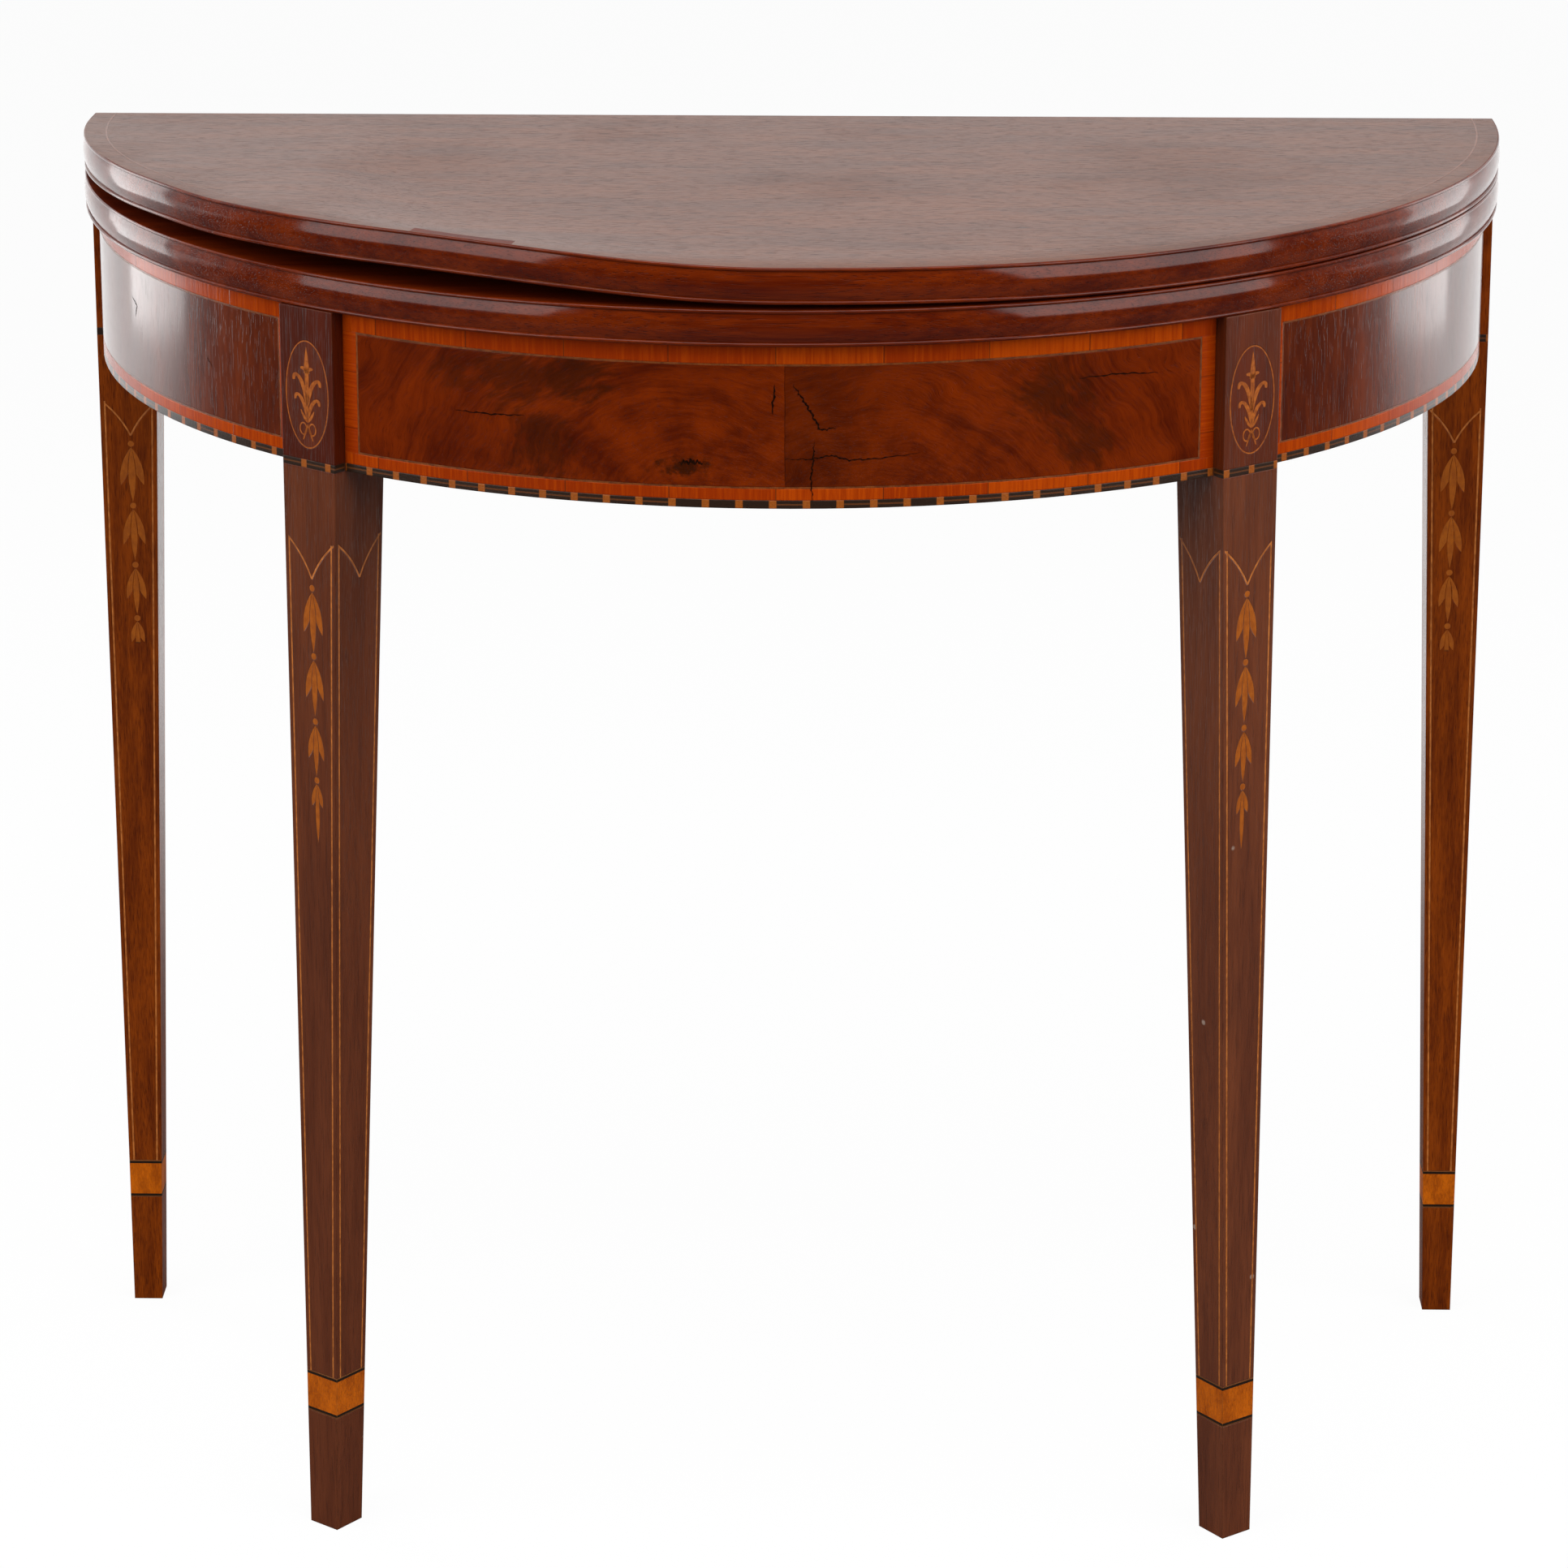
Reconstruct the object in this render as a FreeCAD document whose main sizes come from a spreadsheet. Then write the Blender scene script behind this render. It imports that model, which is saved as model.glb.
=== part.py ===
"""Rounded folding games table: two hinged leaves on a D-shaped frame with two swinging rear legs.

Millimetres, +Z up, +Y towards the back. The origin is on the floor under the middle of the table.
Right-hand pieces are modelled, and their left-hand twins are mirrored across the plane X = 0.
"""
import FreeCAD, Part
import Sketcher
import os

doc = FreeCAD.newDocument("games_table")
Vector = FreeCAD.Vector
Rotation = FreeCAD.Rotation

# Driving dimensions: alias, millimetres or degrees, meaning
SIZES = [
    ("table_height", 776.4, "floor to the top of the closed table"),
    ("leaf_radius", 428, "rounded leaf, over its edge moulding"),
    ("centre_set", 12, "centre of the curve forward of the back edge of the leaves"),
    ("leaf_thickness", 20.2, "each leaf"),
    ("leaf_gap", 0.4, "between the closed leaves"),
    ("leaf_back_gap", 0.2, "from the hinge line to the back edge of each leaf"),
    ("bead_radius", 1.1, "small bead above and below the swelled edge"),
    ("edge_swell", 1.6, "how far the leaf edge swells out between its beads"),
    ("top_line_inset", 13.5, "string line on the top, in from the edge"),
    ("overhang", 8, "leaf edge beyond the apron face"),
    ("apron_height", 91, "curved apron"),
    ("veneer", 1.0, "face veneer and banding on the apron"),
    ("core_thickness", 24, "curved apron core"),
    ("top_band", 11, "crossbanding along the top of the apron"),
    ("bottom_band", 6.5, "crossbanding along the bottom of the apron"),
    ("side_band", 9.5, "crossbanding at the ends of each panel"),
    ("line_width", 1.0, "string lines"),
    ("dash_height", 4.6, "dashed banding at the foot of the apron"),
    ("inlay_depth", 0.8, "depth of the inlays let into legs and top"),
    ("inlay_gap", 0.1, "glue room between fitted flat faces"),
    ("seat_gap", 0.3, "glue room between fitted curved faces"),
    ("leg_angle", 37.5, "front legs, round from the middle of the front"),
    ("front_leg_width", 39.5, "front leg at the apron"),
    ("front_leg_depth", 39.5, "front leg at the apron"),
    ("front_leg_taper", 18.5, "lost from each inner face of a front leg by the floor"),
    ("die_proud", 8, "front leg face beyond the apron face"),
    ("bridle_cheek", 6, "apron core cut away on each face at a front leg"),
    ("rear_leg_width", 36.5, "rear leg at the apron"),
    ("rear_leg_depth", 33, "rear leg at the apron"),
    ("rear_inner_taper", 18.5, "lost from the inner side of a rear leg by the floor"),
    ("rear_front_taper", 13, "lost from the front of a rear leg by the floor"),
    ("rear_proud", 5.5, "rear leg side beyond the apron face"),
    ("rear_setback", 0.5, "rear leg in from the back edge of the leaves"),
    ("cuff_low", 71.5, "underside of the leg cuff above the floor"),
    ("cuff_height", 25.5, "leg cuff"),
    ("line_inset", 2.5, "leg string lines, in from the edges"),
    ("line_top", 42, "top of the leg string lines, below the apron"),
    ("vee_drop", 22, "pointed top of the leg string lines"),
    ("vee_radius", 60, "curve of the pointed top"),
    ("petal_tilt", 16.5, "side petals of a husk, out from the middle one"),
    ("middle_petal_share", 0.29, "width of a middle petal in the width of its husk"),
    ("side_petal_share", 0.35, "width of a side petal in the width of its husk"),
    ("petal_gap", 0.4, "leg wood left between the petals of a husk"),
    ("dot_radius", 1.9, "dot above a husk"),
    ("dot_gap", 0.3, "between a dot and the husk below it"),
    ("oval_width", 32.5, "oval inlay on the front leg block"),
    ("oval_top", 18.3, "top of the oval below the leaf"),
    ("oval_foot", 6.6, "foot of the oval above the dashed banding"),
    ("gate_gap", 0.5, "running room round the swinging gates"),
    ("rail_thickness", 22, "fly rail"),
    ("rail_lift", 2, "fly rail and back rail above the apron foot"),
    ("pivot_x", 130, "gate pivot from the middle"),
    ("finger_gap", 0.4, "between the fingers of a wooden knuckle"),
    ("pin_radius", 3, "gate pivot pin"),
    ("pin_short", 1, "pin end below the face of the knuckle"),
    ("running_gap", 0.05, "round a turning pin"),
    ("tenon_thickness", 10, "fly rail tenon"),
    ("tenon_length", 24, "fly rail tenon"),
    ("tenon_shoulder", 12, "above and below a tenon"),
    ("peg_radius", 3, "tenon peg"),
    ("peg_length", 26, "tenon peg"),
    ("peg_low_share", 0.3, "height of the lower peg in the fly rail"),
    ("peg_high_share", 0.7, "height of the upper peg in the fly rail"),
    ("back_rail_thickness", 18, "fixed inner back rail"),
    ("stub_thickness", 8, "back rail tenon in the apron core"),
    ("stub_length", 12, "back rail tenon in the apron core"),
    ("block_width", 40, "fixing block along the apron"),
    ("block_depth", 20, "fixing block in from the apron"),
    ("block_height", 22, "fixing block"),
    ("block_front_angle", 15, "front fixing block, round from the middle"),
    ("block_side_angle", 62, "side fixing block, round from the middle"),
    ("screw_radius", 2.2, "wood screw shank"),
    ("screw_head_radius", 4.4, "wood screw head"),
    ("screw_head_height", 3.0, "wood screw head"),
    ("screw_bite", 12, "wood screw into the second piece"),
    ("screw_low_share", 0.25, "height of the lower screws in the knuckle block"),
    ("screw_high_share", 0.75, "height of the upper screws in the knuckle block"),
    ("eye_radius", 5, "hinge eye"),
    ("hinge_setback", 2.8, "hinge plate face in from the leaf edge"),
    ("hinge_thickness", 2.4, "hinge plate"),
    ("hinge_length", 42, "hinge plate, forward of the hinge line"),
    ("hinge_reach", 14, "hinge plate, furthest from the meeting plane"),
    ("hinge_start", 2, "hinge plate, nearest the meeting plane"),
    ("eye_gap", 0.1, "between the two halved hinge eyes"),
    ("rivet_radius", 1.5, "hinge rivet"),
    ("rivet_head_radius", 2.6, "hinge rivet head"),
    ("rivet_head_height", 0.8, "hinge rivet head"),
    ("brass_screw_radius", 1.4, "hinge screw shank"),
    ("brass_head_radius", 2.8, "hinge screw head"),
    ("brass_head_height", 1.4, "hinge screw head"),
    ("brass_screw_length", 14, "hinge screw"),
    ("brass_screw_first", 15, "nearer hinge screw from the hinge line"),
    ("brass_screw_second", 32, "further hinge screw from the hinge line"),
]

# Places worked out from the driving dimensions
PLACES = [
    ("axis_y", "(size.leaf_radius + size.centre_set + size.leaf_back_gap - size.eye_radius) / 2"),
    ("back_y", "axis_y - size.leaf_back_gap"),
    ("centre_y", "back_y - size.centre_set"),
    ("upper_z", "size.table_height - size.leaf_thickness"),
    ("meet_z", "upper_z - size.leaf_gap / 2"),
    ("lower_top_z", "upper_z - size.leaf_gap"),
    ("lower_z", "lower_top_z - size.leaf_thickness"),
    ("apron_z", "lower_z - size.apron_height"),
    ("swell_height", "size.leaf_thickness - 4 * size.bead_radius"),
    ("swell_radius", "(pow(swell_height; 2) / 4 + pow(size.edge_swell; 2)) / (2 * size.edge_swell)"),
    ("profile_x", "size.leaf_radius - size.edge_swell"),
    ("apron_radius", "size.leaf_radius - size.overhang"),
    ("veneer_inner", "apron_radius - size.veneer"),
    ("core_outer", "veneer_inner - size.seat_gap"),
    ("core_inner", "core_outer - size.core_thickness"),
    ("tongue_outer", "core_outer - size.bridle_cheek"),
    ("tongue_inner", "core_inner + size.bridle_cheek"),
    ("oval_height", "size.apron_height - size.dash_height - size.oval_top - size.oval_foot"),
    ("die_radius", "apron_radius + size.die_proud"),
    ("leg_x", "die_radius * sin(size.leg_angle)"),
    ("leg_y", "centre_y - die_radius * cos(size.leg_angle)"),
    ("rear_front_y", "back_y - size.rear_setback - size.rear_leg_depth"),
    ("rear_x", "apron_radius + size.rear_proud - size.rear_leg_width / 2"),
    ("apron_end_y", "rear_front_y - size.gate_gap"),
    ("end_angle", "asin((centre_y - apron_end_y) / apron_radius) / 1 deg"),
    ("die_angle", "asin((size.front_leg_width / 2 + size.inlay_gap) / apron_radius) / 1 deg"),
    ("side_angle", "size.side_band / apron_radius * 180 / pi"),
    ("line_angle", "size.line_width / apron_radius * 180 / pi"),
    ("panel_low_z", "apron_z + size.dash_height + size.bottom_band"),
    ("panel_height", "lower_z - size.top_band - panel_low_z"),
    ("rail_top_z", "lower_z - size.gate_gap"),
    ("rail_low_z", "apron_z + size.rail_lift"),
    ("rail_height", "rail_top_z - rail_low_z"),
    ("finger_pitch", "rail_height / 5"),
    ("pin_y", "rear_front_y + size.rail_thickness / 2"),
    ("shoulder", "size.rail_thickness / 2 + size.gate_gap"),
    ("rear_inner_x", "rear_x - size.rear_leg_width / 2"),
    ("back_rail_y", "apron_end_y - size.back_rail_thickness"),
    ("vee_chord", "sqrt(pow(vee_half; 2) + pow(size.vee_drop; 2))"),
    ("vee_half", "size.front_leg_width / 2 - size.line_inset"),
    ("vee_reach", "sqrt(pow(size.vee_radius; 2) - pow(vee_chord / 2; 2))"),
    ("vee_out", "vee_half / 2 + vee_reach * size.vee_drop / vee_chord"),
    ("vee_down", "vee_reach * vee_half / vee_chord - size.vee_drop / 2"),
    ("vee_z", "apron_z - size.line_top - size.vee_drop"),
    ("hinge_outer_x", "size.leaf_radius - size.hinge_setback"),
    ("hinge_inner_x", "hinge_outer_x - size.hinge_thickness"),
    ("half_plate", "(size.hinge_thickness - size.eye_gap) / 2"),
]

# Husk chain down a leg, from the top: alias stem, drop below the apron, length, side petal length, width
HUSKS = [
    ("husk_one", 71.5, 35.3, 25.2, 15.4),
    ("husk_two", 111.2, 33.1, 23.8, 14),
    ("husk_three", 149.5, 29.8, 20.9, 13),
    ("husk_four", 184.2, 34.8, 14.1, 10.5),
]

PEG_SHARES = ("size.peg_low_share", "size.peg_high_share")
SCREW_SHARES = ("size.screw_low_share", "size.screw_high_share")

# How far a cutting tool runs past the face that it cuts
OVERSHOOT = 2


def fill_sheets():
    """Write the driving dimensions to one sheet and the derived places to another."""
    size_sheet = doc.addObject("Spreadsheet::Sheet", "size")
    rows = list(SIZES)
    for stem, drop, length, side, width in HUSKS:
        rows.append((stem + "_drop", drop, "top of the husk below the apron"))
        rows.append((stem + "_length", length, "husk, to the tip of its middle petal"))
        rows.append((stem + "_side", side, "side petal of the husk, along its length"))
        rows.append((stem + "_width", width, "husk"))
    for row, (alias, value, meaning) in enumerate(rows, start=1):
        size_sheet.set("A%d" % row, meaning)
        size_sheet.set("B%d" % row, str(value))
        size_sheet.setAlias("B%d" % row, alias)
    place_sheet = doc.addObject("Spreadsheet::Sheet", "place")
    for row, (alias, rule) in enumerate(PLACES, start=1):
        place_sheet.setAlias("B%d" % row, alias)
    for row, (alias, rule) in enumerate(PLACES, start=1):
        place_sheet.set("A%d" % row, alias)
        place_sheet.set("B%d" % row, "=" + rule)
    doc.recompute()


# Building blocks

ALONG = {
    "x": Rotation(Vector(0, 1, 0), 90),
    "back_x": Rotation(Vector(0, 1, 0), -90),
    "y": Rotation(Vector(1, 0, 0), -90),
    "z": Rotation(),
}
nodes = {}


def bind(item, links):
    """Tie properties of an object to sheet expressions."""
    for path, rule in links.items():
        item.setExpression(path, str(rule))
    return item


def spot(x=0, y=0, z=0, turn=None):
    """Expressions for a place and, where given, a turn about the object's own axis of rotation."""
    links = {"Placement.Base.x": x, "Placement.Base.y": y, "Placement.Base.z": z}
    if turn is not None:
        links["Placement.Rotation.Angle"] = turn
    return links


def box(name, length, width, height, at):
    """A box from its lowest corner."""
    item = doc.addObject("Part::Box", name)
    return bind(item, {"Length": length, "Width": width, "Height": height, **spot(*at)})


def rod(name, radius, length, at, along="z", sweep=None, turn=None):
    """A cylinder, or a sector of one, from the centre of its first end."""
    item = doc.addObject("Part::Cylinder", name)
    item.Placement = FreeCAD.Placement(Vector(), ALONG[along])
    bind(item, {"Radius": radius, "Height": length, **spot(*at, turn=turn)})
    if sweep is not None:
        bind(item, {"Angle": sweep})
    return item


def cone(name, first, second, length, at, along):
    """A cone from the centre of its first end."""
    item = doc.addObject("Part::Cone", name)
    item.Placement = FreeCAD.Placement(Vector(), ALONG[along])
    return bind(item, {"Radius1": first, "Radius2": second, "Height": length, **spot(*at)})


def cut(name, base, *tools):
    """The base less its tools, which keep clear of one another."""
    item = doc.addObject("Part::Cut", name)
    item.Base = base
    item.Tool = tools[0] if len(tools) == 1 else group(name + "_tools", tools)
    return item


def common(name, base, *tools):
    """What the base shares with every tool."""
    for tool in tools:
        item = doc.addObject("Part::Common", name)
        item.Base = base
        item.Tool = tool
        base = item
    return base


def fuse(name, *pieces):
    """One solid from pieces that meet."""
    item = doc.addObject("Part::MultiFuse", name)
    item.Shapes = list(pieces)
    item.Refine = True
    return item


def group(name, pieces):
    """Separate solids kept together."""
    item = doc.addObject("Part::Compound", name)
    item.Links = list(pieces)
    return item


def mirror(name, source):
    """The left-hand twin of a right-hand piece."""
    item = doc.addObject("Part::Mirroring", name)
    item.Source = source
    item.Normal = Vector(1, 0, 0)
    return item


def publish(label, item):
    """Name an object as a finished sub-part."""
    item.Label = label
    nodes[label] = item
    return item


# Leaves

def leaf_board(name, height, behind):
    """A round board cut straight at the back; its edge swells out between two small beads."""
    body = doc.addObject("PartDesign::Body", name)
    sketch = body.newObject("Sketcher::SketchObject", name + "_profile")
    plane = [item for item in body.Origin.OriginFeatures if item.Role == "XZ_Plane"][0]
    sketch.AttachmentSupport = (plane, "")
    sketch.MapMode = "FlatFace"
    bead = size("bead_radius")
    edge = place("profile_x")
    thick = size("leaf_thickness")
    levels = [0, 2 * bead, thick - 2 * bead, thick]
    sketch.addGeometry(Part.LineSegment(Vector(0, 0, 0), Vector(edge, 0, 0)))
    for low, high, out in zip(levels, levels[1:], (bead, size("edge_swell"), bead)):
        bulge = Vector(edge + out, (low + high) / 2, 0)
        sketch.addGeometry(Part.Arc(Vector(edge, low, 0), bulge, Vector(edge, high, 0)))
    sketch.addGeometry(Part.LineSegment(Vector(edge, thick, 0), Vector(0, thick, 0)))
    sketch.addGeometry(Part.LineSegment(Vector(0, thick, 0), Vector(0, 0, 0)))
    constrain_profile(sketch, bead, edge, thick)
    turned = body.newObject("PartDesign::Revolution", name + "_turned")
    turned.Profile = sketch
    turned.ReferenceAxis = (sketch, ["V_Axis"])
    turned.Angle = 360
    bind(body, spot(0, "place.centre_y", height))
    return cut(name + "_straight", body, behind)


def constrain_profile(sketch, bead, edge, thick):
    """Fix the leaf profile to the sheet: lines, and a shallow arc between two half-circles."""
    rule = Sketcher.Constraint
    sketch.addConstraint(rule("Coincident", 0, 1, -1, 1))
    sketch.addConstraint(rule("Horizontal", 0))
    sketch.addConstraint(rule("Horizontal", 4))
    sketch.addConstraint(rule("Vertical", 5))
    ends = [(0, 2, 1, 1), (1, 2, 2, 1), (2, 2, 3, 1), (3, 2, 4, 1), (4, 2, 5, 1), (5, 2, 0, 1)]
    for first, first_end, second, second_end in ends:
        sketch.addConstraint(rule("Coincident", first, first_end, second, second_end))
    for arc in (1, 3):
        sketch.addConstraint(rule("Symmetric", arc, 1, arc, 2, arc, 3))
    for arc in (1, 2, 3):
        sketch.addConstraint(rule("Vertical", arc, 1, arc, 2))
    named = [
        ("reach", rule("DistanceX", 0, 1, 0, 2, edge), "place.profile_x"),
        ("thickness", rule("DistanceY", 5, 2, 5, 1, thick), "size.leaf_thickness"),
        ("low_bead", rule("Radius", 1, bead), "size.bead_radius"),
        ("high_bead", rule("Radius", 3, bead), "size.bead_radius"),
        ("swell", rule("Radius", 2, place("swell_radius")), "place.swell_radius"),
    ]
    for name, constraint, expression in named:
        index = sketch.addConstraint(constraint)
        sketch.renameConstraint(index, name)
        sketch.setExpression("Constraints." + name, expression)


def size(alias):
    """A driving dimension as a number."""
    return float(doc.getObject("size").get(alias))


def place(alias):
    """A derived place as a number."""
    return float(doc.getObject("place").get(alias))


def both(name, right):
    """A right-hand piece and its twin."""
    return [right, mirror(name + "_left", right)]


def hinge_side(name, above):
    """The plate, pocket and screws that one leaf has at its right rear corner."""
    far = "size.hinge_reach" if above else "-size.hinge_reach"
    near = "size.hinge_start" if above else "-size.hinge_start"
    low = near if above else far
    plate_y = "place.axis_y - size.hinge_length"
    plate_height = "size.hinge_reach - size.hinge_start"
    plate_length = "size.hinge_length - size.leaf_back_gap"
    blank = box(name + "_blank", "size.hinge_thickness", plate_length, plate_height,
                ("place.hinge_inner_x", plate_y, "place.meet_z + (%s)" % low))
    eye_x = "place.hinge_inner_x + place.half_plate + size.eye_gap" if above else "place.hinge_inner_x"
    other_x = "place.hinge_inner_x" if above else "place.hinge_inner_x + place.half_plate"
    eye = rod(name + "_eye", "size.eye_radius", "place.half_plate",
              (eye_x, "place.axis_y", "place.meet_z"), "x")
    lap = rod(name + "_lap", "size.eye_radius + size.gate_gap", "place.half_plate + size.eye_gap",
              (other_x, "place.axis_y", "place.meet_z"), "x")
    bore = rod(name + "_bore", "size.rivet_radius + size.running_gap", "2 * size.hinge_thickness",
               ("place.hinge_inner_x - size.hinge_thickness / 2", "place.axis_y", "place.meet_z"), "x")
    halved = cut(name + "_halved", blank, lap)
    plate = cut(name + "_drilled", fuse(name + "_arm", halved, eye), bore)
    screw_z = "place.meet_z + (%s + %s) / 2" % (near, far)
    screws = []
    for index, back in enumerate(("size.brass_screw_first", "size.brass_screw_second")):
        at = ("place.hinge_outer_x", "place.axis_y - " + back, screw_z)
        screws.append(brass_screw("%s_screw%d" % (name, index), at, "0"))
        plate = cut(name + "_plate", plate, brass_screw("%s_hole%d" % (name, index), at, "size.running_gap"))
    pocket_low = "place.meet_z + (%s) - size.inlay_gap" % (low if not above else "0")
    pocket = box(name + "_pocket", "size.hinge_setback + size.hinge_thickness + size.inlay_gap",
                 "size.hinge_length + size.leaf_back_gap + size.inlay_gap", "size.hinge_reach + size.inlay_gap",
                 ("place.hinge_inner_x - size.inlay_gap", plate_y + " - size.inlay_gap", pocket_low))
    pilots = []
    for index, back in enumerate(("size.brass_screw_first", "size.brass_screw_second")):
        at = ("place.hinge_outer_x", "place.axis_y - " + back, screw_z)
        pilots.append(rod("%s_pilot%d" % (name, index), "size.brass_screw_radius + size.running_gap",
                          "size.brass_screw_length + size.inlay_gap", at, "back_x"))
    return plate, screws, [pocket] + pilots


def brass_screw(name, at, spare):
    """A countersunk hinge screw pointing into the leaf, or its hole with some spare room."""
    shank = rod(name + "_shank", "size.brass_screw_radius + " + spare, "size.brass_screw_length", at, "back_x")
    head = cone(name + "_head", "size.brass_head_radius + " + spare, "size.brass_screw_radius + " + spare,
                "size.brass_head_height", at, "back_x")
    return fuse(name, shank, head)


def make_leaves():
    """Both leaves, their hinges and the line round the top."""
    lower_plate, lower_screws, lower_cuts = hinge_side("lower_hinge", False)
    upper_plate, upper_screws, upper_cuts = hinge_side("upper_hinge", True)
    behind = box("behind_leaf", "4 * size.leaf_radius", "2 * size.leaf_radius", "size.table_height",
                 ("-2 * size.leaf_radius", "place.back_y", "place.apron_z"))
    lower = leaf_board("lower_board", "place.lower_z", behind)
    upper = leaf_board("upper_board", "place.upper_z", behind)
    for tool in lower_cuts:
        lower = cut("lower_pocketed", lower, *both("lower_tool", tool))
    for tool in upper_cuts:
        upper = cut("upper_pocketed", upper, *both("upper_tool", tool))
    line_z = "size.table_height - size.inlay_depth"
    line_outer = rod("top_line_outer", "size.leaf_radius - size.top_line_inset", "size.inlay_depth",
                     (0, "place.centre_y", line_z))
    line_inner = rod("top_line_inner", "size.leaf_radius - size.top_line_inset - size.line_width",
                     "size.inlay_depth", (0, "place.centre_y", line_z))
    top_ring = cut("top_ring", line_outer, line_inner)
    top_line = publish("top_string_line", cut("top_line", top_ring, behind))
    publish("upper_leaf", cut("upper_lined", upper, top_line))
    publish("lower_hinge_plates", group("lower_plates", both("lower_plate", lower_plate)))
    publish("upper_hinge_plates", group("upper_plates", both("upper_plate", upper_plate)))
    lower_set = [piece for screw in lower_screws for piece in both("lower_screw", screw)]
    upper_set = [piece for screw in upper_screws for piece in both("upper_screw", screw)]
    publish("lower_hinge_screws", group("lower_screw_set", lower_set))
    publish("upper_hinge_screws", group("upper_screw_set", upper_set))
    rivet = fuse("rivet",
                 rod("rivet_shank", "size.rivet_radius", "size.hinge_thickness + size.eye_gap",
                     ("place.hinge_inner_x", "place.axis_y", "place.meet_z"), "x"),
                 rod("rivet_head", "size.rivet_head_radius", "size.rivet_head_height",
                     ("place.hinge_outer_x + size.eye_gap", "place.axis_y", "place.meet_z"), "x"))
    publish("hinge_rivets", group("rivets", both("rivet_twin", rivet)))
    return lower


# Curved apron

def full_ring(name, outer, inner):
    """A whole ring about the middle of the half-round, as high as the apron."""
    at = (0, "place.centre_y", "place.apron_z")
    return cut(name, rod(name + "_outer", outer, "size.apron_height", at),
               rod(name + "_inner", inner, "size.apron_height", at))


def make_apron():
    """The curved core with its bridle notches and mortises, and the veneers on its face."""
    ring = full_ring("core_ring", "place.core_outer", "place.core_inner")
    behind = box("behind_apron", "2 * size.leaf_radius", "2 * size.leaf_radius", "size.apron_height",
                 ("-size.leaf_radius", "place.apron_end_y", "place.apron_z"))
    leg_plan = box("leg_plan", "size.front_leg_width + 2 * size.inlay_gap",
                   "size.front_leg_depth + size.inlay_gap", "size.apron_height",
                   ("-size.front_leg_width / 2 - size.inlay_gap", 0, "place.apron_z"))
    placed_plan = group("placed_plan", [leg_plan])
    bind(placed_plan, spot("place.leg_x", "place.leg_y", 0, "size.leg_angle"))
    tongue = full_ring("tongue", "place.tongue_outer", "place.tongue_inner")
    notch = cut("bridle_notch", placed_plan, tongue)
    mortise = common("back_mortise",
                     box("back_mortise_box", "2 * size.leaf_radius", "size.stub_thickness + 2 * size.inlay_gap",
                         "place.rail_height - 2 * size.tenon_shoulder + 2 * size.inlay_gap",
                         ("-size.leaf_radius", stub_y() + " - size.inlay_gap",
                          "place.rail_low_z + size.tenon_shoulder - size.inlay_gap")),
                     rod("back_mortise_end", "place.core_inner + size.stub_length + size.seat_gap",
                         "size.table_height", (0, "place.centre_y", 0)))
    publish("apron_core", cut("core", ring, behind, *both("notch", notch), mortise))
    make_veneers()


def stub_y():
    """Front face of the back rail's tenons."""
    return "place.back_rail_y + (size.back_rail_thickness - size.stub_thickness) / 2"


def make_veneers():
    """Figured panels, string lines, crossbanding and dashed banding on the apron face."""
    face = rod("apron_face", "place.veneer_inner", "size.apron_height", (0, "place.centre_y", "place.apron_z"))

    def strip(name, start, sweep, low, height):
        """A curved strip of veneer on the apron face."""
        blank = rod(name + "_blank", "place.apron_radius", height, (0, "place.centre_y", low),
                    sweep=sweep, turn=start)
        return cut(name, blank, face)

    def panel(name, start, sweep):
        """One panel with its frame, as panel, bands, lines and dashes."""
        side = "place.side_angle"
        line = "place.line_angle"
        low, tall = "place.panel_low_z", "place.panel_height"
        thin = "size.line_width"
        inner = "%s - 2 * %s" % (sweep, side)
        bands = [
            strip(name + "_top", start, sweep, "place.lower_z - size.top_band", "size.top_band"),
            strip(name + "_foot", start, sweep, "place.apron_z + size.dash_height", "size.bottom_band"),
            strip(name + "_first", start, side, low, tall),
            strip(name + "_last", "%s + %s - %s" % (start, sweep, side), side, low, tall),
        ]
        inside = "%s + %s" % (start, side)
        short = "%s - 2 * %s" % (tall, thin)
        lines = [
            strip(name + "_line_foot", inside, inner, low, thin),
            strip(name + "_line_top", inside, inner, "%s + %s - %s" % (low, tall, thin), thin),
            strip(name + "_line_first", inside, line, "%s + %s" % (low, thin), short),
            strip(name + "_line_last", "%s + %s - %s" % (inside, inner, line), line,
                  "%s + %s" % (low, thin), short),
        ]
        field = strip(name + "_field", "%s + %s" % (inside, line), "%s - 2 * %s" % (inner, line),
                      "%s + %s" % (low, thin), short)
        dashes = strip(name + "_dashes", start, sweep, "place.apron_z", "size.dash_height")
        return field, bands, lines, dashes

    half = "(size.leg_angle - place.die_angle)"
    centre = panel("centre", "270 - " + half, "2 * " + half)
    side_sweep = "(90 - place.end_angle - size.leg_angle - place.die_angle)"
    right = panel("right", "270 + size.leg_angle + place.die_angle", side_sweep)
    publish("centre_panel", centre[0])
    publish("right_panel", right[0])
    publish("left_panel", mirror("left_field", right[0]))
    bands = centre[1] + [piece for band in right[1] for piece in both("band", band)]
    lines = centre[2] + [piece for line in right[2] for piece in both("line", line)]
    publish("apron_crossbanding", group("bands", bands))
    publish("apron_string_lines", group("lines", lines))
    publish("apron_dash_banding", group("dashes", [centre[3]] + both("dash", right[3])))


# Legs

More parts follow.
